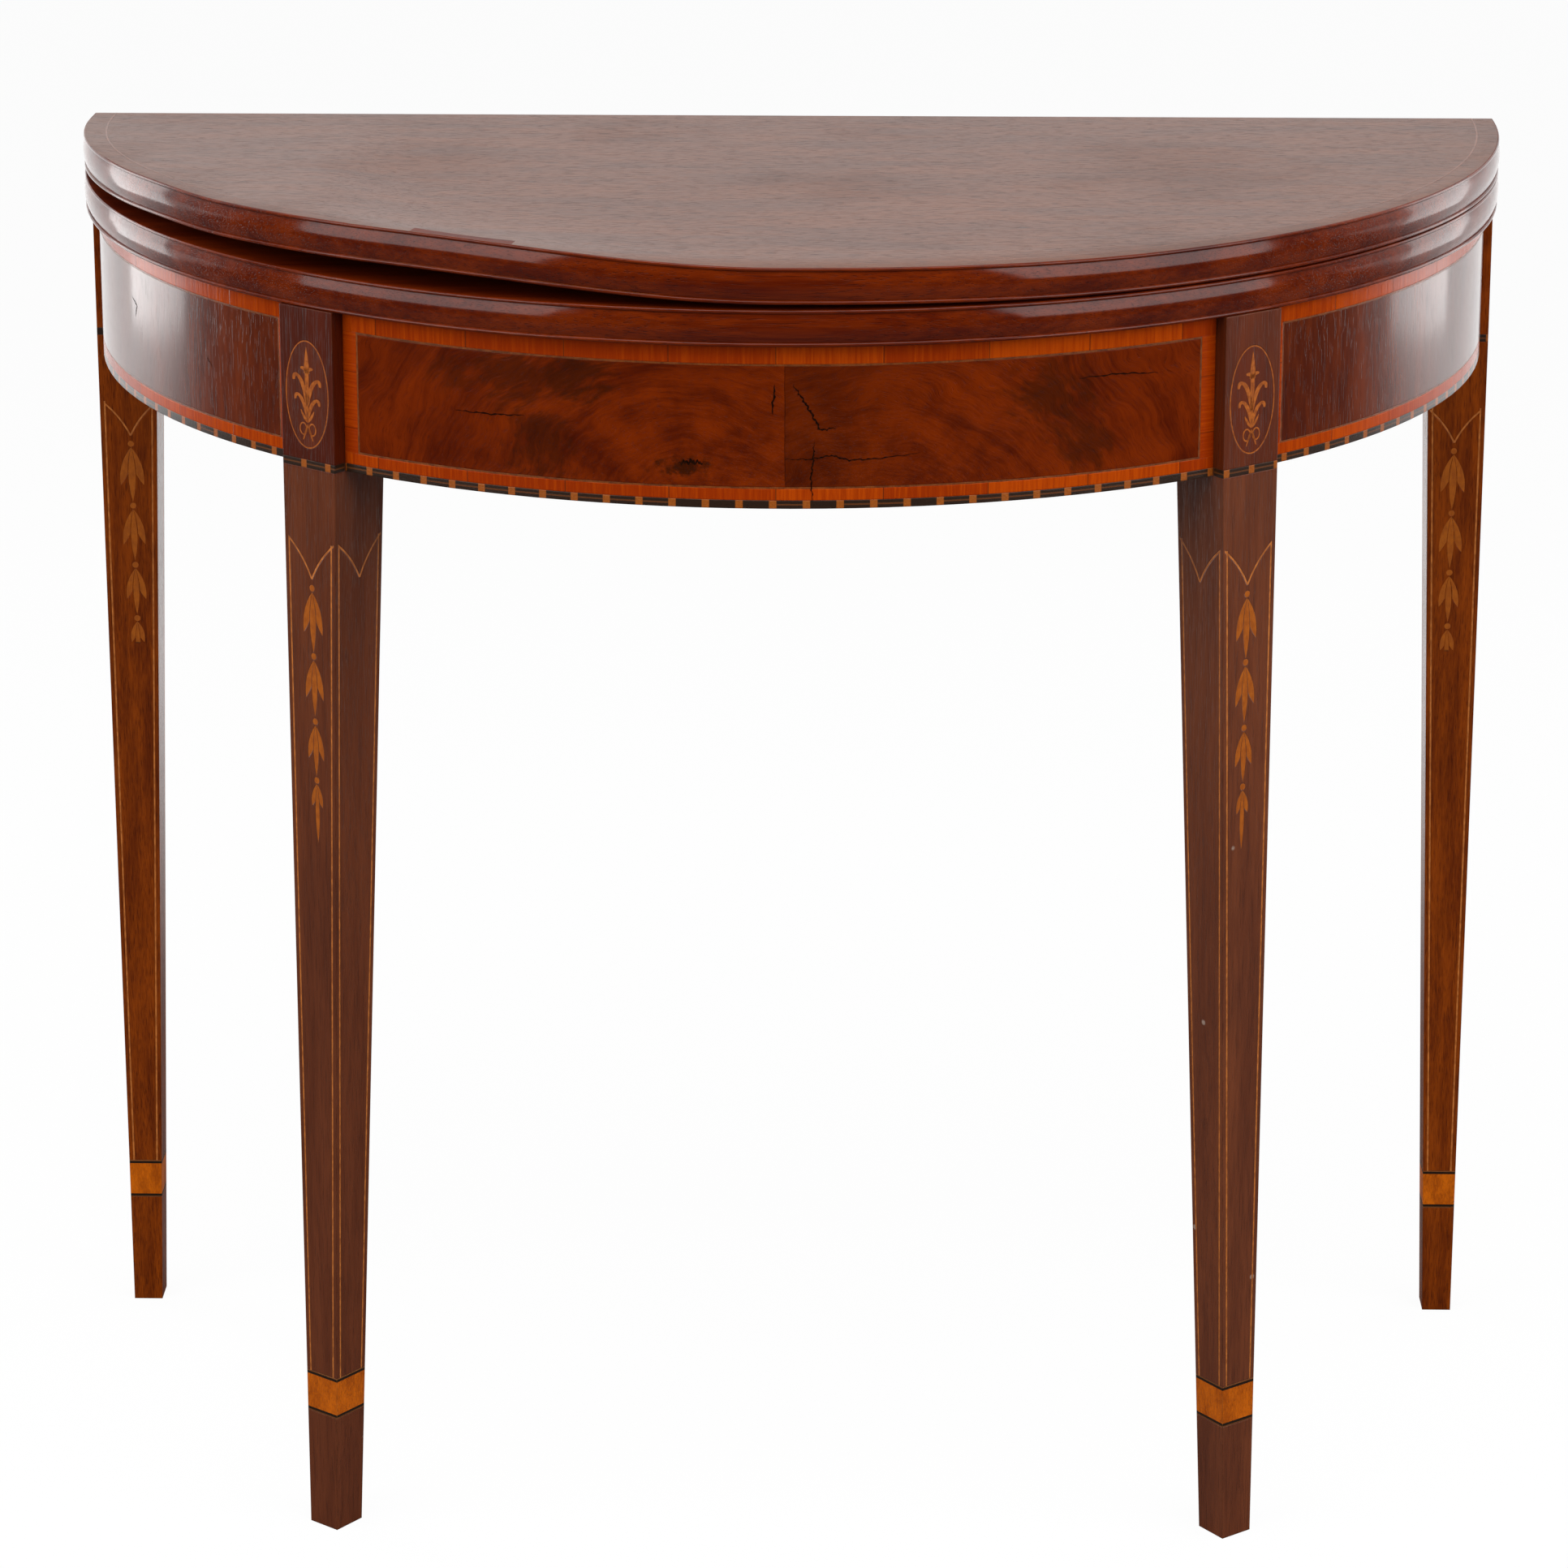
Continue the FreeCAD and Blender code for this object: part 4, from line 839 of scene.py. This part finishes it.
@dataclass
class Leaves:
    """The two half-round leaves; the top one has warped up at its left front with age."""

    bead: float = 0.0011
    swell: float = 0.0016
    line_inset: float = 0.0135
    line_width: float = 0.001
    columns: int = 132
    rows: int = 14
    hinge_face_x: float = 0.4227
    hinge_length: float = 0.0421
    hinge_reach: float = 0.0142
    hinge_axis_y: float = 0.2176
    line_proud: float = 0.00006
    weld: float = 0.00002
    lift_shares: tuple[Spot, ...] = ((-1.0, 0.0), (-0.5, 0.0006), (0.0, 0.0025), (0.5, 0.0125),
                                     (0.73, 0.0128), (0.86, 0.016), (1.0, 0.019))
    late_power: float = 9.0
    early_power: float = 1.5
    power_range: Spot = (0.36, 0.62)
    least_depth: float = 0.004
    pocket_step: float = 0.0002
    level_normal: float = 0.985

    @property
    def low_z(self) -> float:
        """Underside of the top leaf."""
        return TABLE.top_z - TABLE.leaf

    @property
    def flat_radius(self) -> float:
        """Radius where the flat faces end and the moulding starts."""
        return TABLE.leaf_radius - self.swell

    def lift(self, x: float, y: float) -> float:
        """How far the warp lifts a point of the top leaf.

        Args:
            x: Place across the table.
            y: Place from front to back.

        Returns:
            The lift in metres.
        """
        reach = TABLE.leaf_radius
        half = math.sqrt(max(0.0, reach * reach - x * x))
        edge_depth = TABLE.back_y - TABLE.curve_y + half
        depth = min(1.0, max(0.0, (TABLE.back_y - y) / max(edge_depth, self.least_depth)))
        left = -x / reach
        slope = 0.0
        for (start, low), (end, high) in zip(self.lift_shares, self.lift_shares[1:]):
            if start <= left <= end:
                slope = low + (high - low) * rise_between(left, start, end)
        early = rise_between(left, *self.power_range)
        power = self.late_power + (self.early_power - self.late_power) * early
        return slope * edge_depth / reach * depth ** power

    def arc_shares(self) -> list[float]:
        """Shares along the curved edge, with extra ones at the hinge pockets."""
        shares = [index / self.columns for index in range(self.columns + 1)]
        behind = math.asin((TABLE.back_y - TABLE.curve_y) / TABLE.leaf_radius)
        pocket = TABLE.curve_y - (self.hinge_axis_y - self.hinge_length)
        stop = (math.asin(pocket / TABLE.leaf_radius) + behind) / (math.pi + 2 * behind)
        for edge in (stop, stop + self.pocket_step):
            shares += [edge, 1 - edge]
        return sorted(shares)

    def edge_point(self, share: float, radius: float) -> Spot:
        """A point on the curve at one radius, from the right back corner round to the left one."""
        behind = math.asin((TABLE.back_y - TABLE.curve_y) / radius)
        turn = -behind + share * (math.pi + 2 * behind)
        return radius * math.cos(turn), TABLE.curve_y - radius * math.sin(turn)

    def moulding(self) -> list[Spot]:
        """Radius and height of the moulded edge, from the top face round to the underside."""
        height = TABLE.leaf - 4 * self.bead
        swell_radius = (height * height / 4 + self.swell * self.swell) / (2 * self.swell)
        profile = []
        high = TABLE.top_z
        for radius, tall, steps in ((self.bead, 2 * self.bead, 6), (swell_radius, height, 12),
                                    (self.bead, 2 * self.bead, 6)):
            spread = math.asin(min(1.0, tall / 2 / radius))
            for index in range(steps + 1):
                turn = spread * (1 - 2 * index / steps)
                profile.append((self.flat_radius + radius * (math.cos(turn) - math.cos(spread)),
                                high - tall / 2 + radius * math.sin(turn)))
            high -= tall
        return profile

    def pocketed(self, x: float, y: float, z: float) -> float:
        """Pull a point of the moulding in where a hinge plate is let in."""
        in_pocket = y > self.hinge_axis_y - self.hinge_length and z < self.low_z + self.hinge_reach
        if in_pocket and abs(x) > self.hinge_face_x:
            return math.copysign(self.hinge_face_x, x)
        return x

    def build_top_leaf(self, flat: Material, edge: Material) -> None:
        """Build the warped top leaf, which stands for its plain solid.

        Args:
            flat: The finish of its top face.
            edge: The finish of its moulded edge and playing face.
        """
        shape = bmesh.new()
        shares = self.arc_shares()
        corner_x = self.edge_point(0.0, self.flat_radius)[0]

        def vertex(x: float, y: float, z: float) -> bmesh.types.BMVert:
            """Add a point, lifted by the warp."""
            return shape.verts.new((x, y, z + self.lift(x, y)))

        def face_rows(height: float) -> list[list[bmesh.types.BMVert]]:
            """Add the points of a flat face, from its back edge to the moulding."""
            rows = []
            for row in range(self.rows):
                part = row / self.rows
                line = []
                for share in shares:
                    edge_x, edge_y = self.edge_point(share, self.flat_radius)
                    back_x = corner_x * math.cos(math.pi * share)
                    line.append(vertex(back_x + (edge_x - back_x) * part,
                                       TABLE.back_y + (edge_y - TABLE.back_y) * part, height))
                rows.append(line)
            return rows

        rows = face_rows(TABLE.top_z)
        for radius, height in self.moulding():
            line = []
            for share in shares:
                x, y = self.edge_point(share, radius)
                line.append(vertex(self.pocketed(x, y, height), y, height))
            rows.append(line)
        rows += reversed(face_rows(self.low_z))
        rows.append(rows[0])
        for upper, lower in zip(rows, rows[1:]):
            for index in range(len(shares) - 1):
                shape.faces.new((upper[index], upper[index + 1], lower[index + 1], lower[index]))
        ring = rows[self.rows:self.rows + len(self.moulding())]
        shape.faces.new([line[0] for line in ring])
        shape.faces.new([line[-1] for line in reversed(ring)])
        bmesh.ops.remove_doubles(shape, verts=shape.verts, dist=self.weld)
        bmesh.ops.recalc_face_normals(shape, faces=shape.faces)
        for face in shape.faces:
            face.material_index = 0 if face.normal.z > self.level_normal else 1
        piece = new_piece("warped_top_leaf", shape, flat, "top_leaf")
        piece.data.materials.append(edge)
        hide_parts("upper_leaf")

    def build_top_line(self, material: Material) -> None:
        """Build the string line let into the top, following the warp.

        Args:
            material: The line's finish.
        """
        shape = bmesh.new()
        outer = TABLE.leaf_radius - self.line_inset
        pairs = []
        for share in self.arc_shares():
            pair = []
            for radius in (outer, outer - self.line_width):
                x, y = self.edge_point(share, radius)
                pair.append((x, y, TABLE.top_z + self.lift(x, y) + self.line_proud))
            pairs.append(pair)
        add_strip(shape, pairs)
        bmesh.ops.recalc_face_normals(shape, faces=shape.faces)
        piece = new_piece("top_line", shape, material, "top_leaf")
        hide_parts("top_string_line")

    def build(self) -> None:
        """Build the top leaf and dress the playing leaf."""
        edge = FINISHES.edge_wood.material()
        self.build_top_leaf(FINISHES.leaf_wood.material(), edge)
        self.build_top_line(FINISHES.line_wood.material())
        dress_node("lower_leaf", edge)

    def dress(self) -> None:
        """Dress the hinges of the leaves."""
        brass = FINISHES.brass.material()
        for name in ("upper_hinge_plates", "lower_hinge_plates", "upper_hinge_screws", "lower_hinge_screws",
                     "hinge_rivets"):
            dress_node(name, brass)


@dataclass
class Apron:
    """The curved apron with its veneers, bandings and age cracks.

    Each crack has its width and the run and rise of the points that it passes.
    """

    proud: float = 0.00008
    crack_steps: int = 10
    thinnest: float = 0.00012
    cracks: tuple[tuple[float, tuple[Spot, ...]], ...] = (
        (0.0003, ((0.0051, 0.7235), (0.0051, 0.6600))),
        (0.0015, ((0.0094, 0.7135), (0.0142, 0.7063), (0.0190, 0.6982), (0.0243, 0.6883),
                  (0.0325, 0.6896))),
        (0.0011, ((0.0208, 0.6816), (0.0204, 0.6717), (0.0191, 0.6613), (0.0200, 0.6487))),
        (0.001, ((0.0051, 0.6722), (0.0191, 0.6722), (0.0300, 0.6743), (0.0396, 0.6715),
                 (0.0545, 0.6720), (0.0779, 0.6743))),
        (0.0010, ((-0.1806, 0.6890), (-0.1587, 0.6890), (-0.1389, 0.6900))),
        (0.001, ((0.1682, 0.7098), (0.1928, 0.7101), (0.2168, 0.7079))),
        (0.0014, ((-0.0001, 0.7135), (-0.0019, 0.6969))),
        (0.0028, ((-0.0524, 0.6692), (-0.0453, 0.6700), (-0.0387, 0.6694))),
        (0.0010, ((-0.4734, 0.7053), (-0.4648, 0.7014), (-0.4685, 0.6943))),
        (0.0008, ((-0.3723, 0.6898), (-0.3666, 0.6852))),
    )

    def on_apron(self, run: float, rise: float) -> Vector:
        """A point just proud of the apron's face."""
        radius = TABLE.apron_radius + self.proud
        turn = run / TABLE.apron_radius
        return Vector((radius * math.sin(turn), TABLE.curve_y - radius * math.cos(turn), rise))

    def build(self) -> None:
        """Build the cracks and old scratches as thin dark lines in the veneer."""
        shape = bmesh.new()
        for number, (width, points) in enumerate(self.cracks):
            self.crack(shape, width, points, number)
        bmesh.ops.recalc_face_normals(shape, faces=shape.faces)
        crack_wood = Inlay("crack_shadow", (0.016, 0.004, 0.001), (0.004, 0.0015, 0.0006), scale=500.0,
                           polish=Polish(rough=0.8, coat=0.0, specular=0.02, edge=0.0002,
                                         rubbed=(0.03, 0.01, 0.004)))
        new_piece("veneer_cracks", shape, crack_wood.material(), "frame")

    def crack(self, shape: Mesh, width: float, points: Sequence[Spot], number: int) -> None:
        """Add one ragged line that thins out at both ends.

        Args:
            shape: The mesh that takes it.
            width: Its width in the middle.
            points: Run and height of the points that it passes.
            number: Makes the raggedness of each line its own.
        """
        steps = self.crack_steps * (len(points) - 1)
        pairs = []
        for index in range(steps + 1):
            whole = min(index // self.crack_steps, len(points) - 2)
            part = index / self.crack_steps - whole
            first, second = Vector(points[whole]), Vector(points[whole + 1])
            middle = first.lerp(second, part)
            side = (second - first).orthogonal().normalized()
            wobble = math.sin(index * 2.3 + number * 1.7) * 0.5 + math.sin(index * 5.1 + number) * 0.5
            middle += side * wobble * width * 0.45
            thin = math.sin(math.pi * index / steps) ** 0.5
            swell = 0.75 + 0.3 * math.sin(index * 3.7 + number)
            half = side * max(self.thinnest, width * 0.5 * thin * swell)
            pairs.append((self.on_apron(*(middle + half)), self.on_apron(*(middle - half))))
        add_strip(shape, pairs)

    def dress(self) -> None:
        """Dress the core, the panels and the bandings."""
        dress_node("apron_core", FINISHES.inside_wood.material())
        dress_node("centre_panel", FINISHES.flame.material())
        striped = FINISHES.side_veneer.material()
        for side in Side:
            dress_node(side.word + "_panel", striped)
        dress_node("apron_crossbanding", FINISHES.banding.material())
        dress_node("apron_string_lines", FINISHES.line_wood.material())
        dress_node("apron_dash_banding", FINISHES.dashes.material())


@dataclass
class OvalSpray:
    """The inlaid spray of leaves, tied with a bow, in the oval of a front leg block.

    Strokes are in millimetres from the oval's middle: three points, then the width at each. A leaf also says
    which of its points is the first to hang lower on the right hand.
    """

    centre_z: float = 0.6866
    height: float = 0.0615
    width: float = 0.0325
    rim: float = 0.0007
    proud: float = 0.00007
    stem: tuple[tuple[Bend, Point], ...] = (
        (((0, 14), (0, 2), (0, -16)), (3.0, 3.0, 0.8)),
        (((0, 12), (0, 19), (0, 27)), (4.4, 3.4, 0.3)))
    leaves: tuple[tuple[Bend, Point, int], ...] = (
        (((0, 13), (2.5, 15.5), (4.6, 14.6)), (1.6, 2.8, 1.0), 3),
        (((0.6, -6), (2.2, 8), (7.5, 10.5)), (1.2, 4.0, 1.7), 1),
        (((7.3, 10.5), (10.5, 10.6), (9.8, 7.4)), (1.7, 2.9, 1.7), 0),
        (((0.5, -14), (2, -3), (6.8, -0.5)), (1.0, 3.6, 1.5), 1),
        (((6.6, -0.5), (9.6, -0.5), (8.9, -3.4)), (1.5, 2.5, 1.5), 0),
        (((0.4, -15.5), (3, -13), (5, -9)), (0.9, 2.6, 0.5), 3),
        (((0, -17), (1.6, -21), (3.6, -26)), (0.9, 1.6, 0.7), 3))
    right_drop: float = -2.0
    bow_middle: Spot = (0.0034, -0.0197)
    bow_radii: Spot = (0.0029, 0.0037)
    bow_line: float = 0.0008

    def on_block(self, side: Side, across: float, up: float) -> Vector:
        """A point just proud of the block's turned face.

        Args:
            side: Which front leg.
            across: Place across the face, to the right as it is seen.
            up: Place above the oval's middle.

        Returns:
            The point in the table's axes.
        """
        turn = TABLE.leg_turn * side.value
        reach = TABLE.die_radius + self.proud
        x = reach * math.sin(turn) + across * math.cos(turn)
        y = TABLE.curve_y - reach * math.cos(turn) + across * math.sin(turn)
        return Vector((x, y, self.centre_z + up))

    def stroke(self, shape: Mesh, side: Side, points: Sequence[Spot], widths: Sequence[float]) -> None:
        """Add one tapering stroke along a bent line.

        Args:
            shape: The mesh that takes it.
            side: Which front leg.
            points: Three points of the bend, in millimetres from the oval's middle.
            widths: Width in millimetres at the start, the middle and the end.
        """
        first, bend, last = (Vector(point) for point in points)
        steps = 10
        pairs = []
        for index in range(steps + 1):
            part = index / steps
            middle = first * (1 - part) ** 2 + bend * 2 * part * (1 - part) + last * part ** 2
            ahead = (bend - first) * (1 - part) + (last - bend) * part
            aside = ahead.orthogonal().normalized()
            width = widths[0] * (1 - part) ** 2 + widths[1] * 2 * part * (1 - part) + widths[2] * part ** 2
            pair = []
            for sign in (0.5, -0.5):
                spot = (middle + aside * width * sign) / 1000
                pair.append(self.on_block(side, spot.x, spot.y))
            pairs.append(pair)
        add_strip(shape, pairs)

    def ring(self, shape: Mesh, side: Side, middle: Spot, radii: Spot, width: float) -> None:
        """Add one thin oval ring.

        Args:
            shape: The mesh that takes it.
            side: Which front leg.
            middle: Its middle from the oval's middle.
            radii: Its half width and half height, outside.
            width: How wide the line is.
        """
        steps = 48
        pairs = []
        for index in range(steps):
            turn = 2 * math.pi * index / steps
            pair = []
            for inward in (0.0, width):
                pair.append(self.on_block(side, middle[0] + (radii[0] - inward) * math.sin(turn),
                                          middle[1] + (radii[1] - inward) * math.cos(turn)))
            pairs.append(pair)
        add_strip(shape, pairs, closed=True)

    def build(self, material: Material) -> None:
        """Build the spray and its oval line on both front leg blocks.

        Args:
            material: The inlay's finish.
        """
        for side in Side:
            shape = bmesh.new()
            self.ring(shape, side, (0.0, 0.0), (self.width / 2, self.height / 2), self.rim)
            for points, widths in self.stem:
                self.stroke(shape, side, points, widths)
            for hand in (-1, 1):
                drop = 0 if hand < 0 else self.right_drop
                for points, widths, first_low in self.leaves:
                    placed = [(hand * x, y + (drop if index >= first_low else 0))
                              for index, (x, y) in enumerate(points)]
                    self.stroke(shape, side, placed, widths)
                bow_middle = (hand * self.bow_middle[0], self.bow_middle[1])
                self.ring(shape, side, bow_middle, self.bow_radii, self.bow_line)
            bmesh.ops.recalc_face_normals(shape, faces=shape.faces)
            new_piece(side.word + "_oval_spray", shape, material, "frame")


@dataclass
class FrontLegs:
    """The two front legs, set at an angle, with their blocks, husks, lines and cuffs."""

    spray: OvalSpray

    def build(self) -> None:
        """Build the inlaid sprays of the blocks."""
        self.spray.build(FINISHES.spray_wood.material())

    def dress(self) -> None:
        """Dress the legs and their inlays."""
        woods = {Side.LEFT: FINISHES.leg_wood.material(), Side.RIGHT: FINISHES.knocked_leg_wood.material()}
        shared = {"_string_lines": FINISHES.leg_line_wood.material(),
                  "_husks": FINISHES.husk_wood.material(),
                  "_cuff": FINISHES.cuff.material(), "_oval": FINISHES.oval_wood.material()}
        for side, wood in woods.items():
            dashes = Dashes(side.word + "_block_dashes", TABLE.leg_turn * side.value)
            for ending, material in {"": wood, **shared, "_die_band": dashes.material()}.items():
                dress_node("front_leg_" + side.word + ending, material)


@dataclass
class Gates:
    """The two swinging gates: fly rails with the rear legs, and the block that they turn on."""

    dash_start: float = 0.009

    def dress(self) -> None:
        """Dress the rear legs, the rails and what they turn on."""
        iron = FINISHES.iron.material()
        shared = {"": FINISHES.rear_leg_wood.material(), "_string_lines": FINISHES.leg_line_wood.material(),
                  "_husks": FINISHES.husk_wood.material(), "_cuff": FINISHES.cuff.material(),
                  "_pegs": FINISHES.peg_wood.material(),
                  "_die_band": Dashes("rear_block_dashes", 0.0, self.dash_start).material()}
        rail, block = FINISHES.inside_wood.material(), FINISHES.block_wood.material()
        for side in Side:
            for ending, material in shared.items():
                dress_node("rear_leg_" + side.word + ending, material)
            dress_node(side.word + "_fly_rail", rail)
            dress_node(side.word + "_pivot_pin", iron)
        for name in ("knuckle_block", "inner_back_rail", "fixing_blocks"):
            dress_node(name, block)
        for name in ("knuckle_block_screws", "top_screws"):
            dress_node(name, iron)


@dataclass
class Studio:
    """Floor, soft lights, white surround and camera of the photograph."""

    floor_half: float = 14.0
    camera_place: Point = (0.0646, -2.9511, 1.3872)
    camera_pitch: float = 0.2725
    camera_yaw: float = 0.0219
    lens: float = 120.86
    shift_down: float = 0.15
    sensor: float = 36.0
    paper_greys: Spot = (0.78, 0.82)
    hidden_grey: float = 0.12
    floor_white: float = 0.95
    floor_behind: Spot = (0.6, 1.7)
    floor_glare: float = 0.25
    surround_light: float = 0.42
    dim_front: Colour = (0.04, 0.04, 0.04)
    lamps: tuple[tuple[str, Point, Point, Spot, float], ...] = (
        ("left_lamp", (-2.0, -1.25, 1.45), (0.0, 0.0, 0.6), (2.0, 1.8), 38.0),
        ("right_lamp", (2.0, -1.25, 1.45), (0.0, 0.0, 0.6), (2.0, 1.8), 42.0),
        ("left_back_lamp", (-2.3, 1.45, 0.95), (-0.3, 0.1, 0.7), (1.0, 1.7), 19.0),
        ("right_back_lamp", (2.3, 1.45, 0.95), (0.3, 0.1, 0.7), (1.0, 1.7), 15.0),
        ("top_lamp", (0.0, -1.2, 3.0), (0.0, 0.0, 0.5), (2.4, 2.0), 45.0))

    def build_floor(self) -> None:
        """Build a plain pale floor that reads white and keeps the table's shadow."""
        shape = bmesh.new()
        bmesh.ops.create_grid(shape, x_segments=2, y_segments=2, size=self.floor_half)
        mesh = bpy.data.meshes.new("floor")
        shape.to_mesh(mesh)
        shape.free()
        floor = bpy.data.objects.new("floor", mesh)
        bpy.context.scene.collection.objects.link(floor)
        material, wiring = fresh_material("pale_floor")
        faint = wiring.noise(wiring.place(), 3.0, 2.0)
        paper = wiring.mix(faint, *((grey, grey, grey) for grey in self.paper_greys))
        path = wiring.node("ShaderNodeLightPath").outputs
        colour = wiring.mix(path["Is Camera Ray"], (self.hidden_grey,) * 3, paper)
        paint = wiring.node("ShaderNodeBsdfPrincipled", {"Base Color": colour, "Roughness": 0.9,
                                                         "Specular IOR Level": 0.1})
        glare = wiring.plus(wiring.times(path["Is Glossy Ray"], self.floor_glare), 1.0)
        white = wiring.node("ShaderNodeEmission", {"Color": WHITE, "Strength": glare})
        behind = wiring.step(wiring.parts(wiring.place())[1], *self.floor_behind)
        mirrored = wiring.times(path["Is Glossy Ray"], behind)
        seen = wiring.math("MAXIMUM", wiring.times(path["Is Camera Ray"], self.floor_white), mirrored)
        mixed = wiring.node("ShaderNodeMixShader", {0: seen, 1: paint.outputs[0], 2: white.outputs[0]})
        below = wiring.node("ShaderNodeNewGeometry").outputs["Backfacing"]
        clear = wiring.node("ShaderNodeBsdfTransparent")
        shown = wiring.node("ShaderNodeMixShader", {0: below, 1: mixed.outputs[0], 2: clear.outputs[0]})
        wiring.node("ShaderNodeOutputMaterial", {"Surface": shown.outputs[0]})
        mesh.materials.append(material)

    def build_lights(self) -> None:
        """Hang the lamps and make a plain pale surround."""
        for name, place, target, size, power in self.lamps:
            self.soft_lamp(name, place, target, size, power)
        world = bpy.data.worlds.new("pale_surround")
        world.use_nodes = True
        world.node_tree.nodes.clear()
        wiring = Wiring(world.node_tree)
        path = wiring.node("ShaderNodeLightPath").outputs
        _, y, z = wiring.parts(wiring.node("ShaderNodeTexCoord").outputs["Generated"])
        behind = wiring.step(wiring.plus(y, wiring.times(z, 0.35)), -0.1, 0.6)
        glow = wiring.mix(behind, self.dim_front, WHITE)
        white = wiring.math("MAXIMUM", path["Is Camera Ray"], path["Is Transmission Ray"])
        mirror_look = wiring.node("ShaderNodeBackground", {"Color": glow, "Strength": 1.0})
        plain = wiring.node("ShaderNodeBackground", {"Color": WHITE, "Strength": self.surround_light})
        bright = wiring.node("ShaderNodeBackground", {"Color": WHITE, "Strength": 1.0})
        lit = wiring.node("ShaderNodeMixShader", {0: path["Is Glossy Ray"], 1: plain.outputs[0],
                                                  2: mirror_look.outputs[0]})
        mixed = wiring.node("ShaderNodeMixShader", {0: white, 1: lit.outputs[0], 2: bright.outputs[0]})
        wiring.node("ShaderNodeOutputWorld", {"Surface": mixed.outputs[0]})
        bpy.context.scene.world = world

    def soft_lamp(self, name: str, place: Sequence[float], target: Sequence[float], size: Spot,
                  power: float) -> None:
        """Hang one soft box.

        Args:
            name: The lamp's name.
            place: Where it hangs.
            target: What it points at.
            size: Its width and height.
            power: Its light in watts.
        """
        data = bpy.data.lights.new(name, "AREA")
        data.shape = "RECTANGLE"
        data.size, data.size_y = size
        data.energy = power
        lamp = bpy.data.objects.new(name, data)
        lamp.location = place
        lamp.rotation_euler = (Vector(target) - Vector(place)).to_track_quat("-Z", "Y").to_euler()
        bpy.context.scene.collection.objects.link(lamp)

    def build_camera(self) -> None:
        """Set the camera where the photograph was taken from."""
        data = bpy.data.cameras.new("photo_camera")
        data.lens = self.lens
        data.sensor_width = self.sensor
        data.shift_y = -self.shift_down
        camera = bpy.data.objects.new("photo_camera", data)
        camera.location = self.camera_place
        camera.rotation_euler = (math.pi / 2 - self.camera_pitch, 0.0, self.camera_yaw)
        bpy.context.scene.collection.objects.link(camera)
        bpy.context.scene.camera = camera

    def build(self) -> None:
        """Build the whole studio."""
        self.build_floor()
        self.build_lights()
        self.build_camera()
        bpy.context.scene.view_settings.view_transform = "Standard"


def main() -> None:
    """Build the table's sub-assemblies in order, then the studio."""
    logging.basicConfig(level=logging.INFO, format="%(name)s: %(message)s")
    leaves = Leaves()
    leaves.build()
    leaves.dress()
    apron = Apron()
    apron.build()
    apron.dress()
    legs = FrontLegs(OvalSpray())
    legs.build()
    legs.dress()
    Gates().dress()
    Studio().build()


if __name__ == "__main__":
    main()
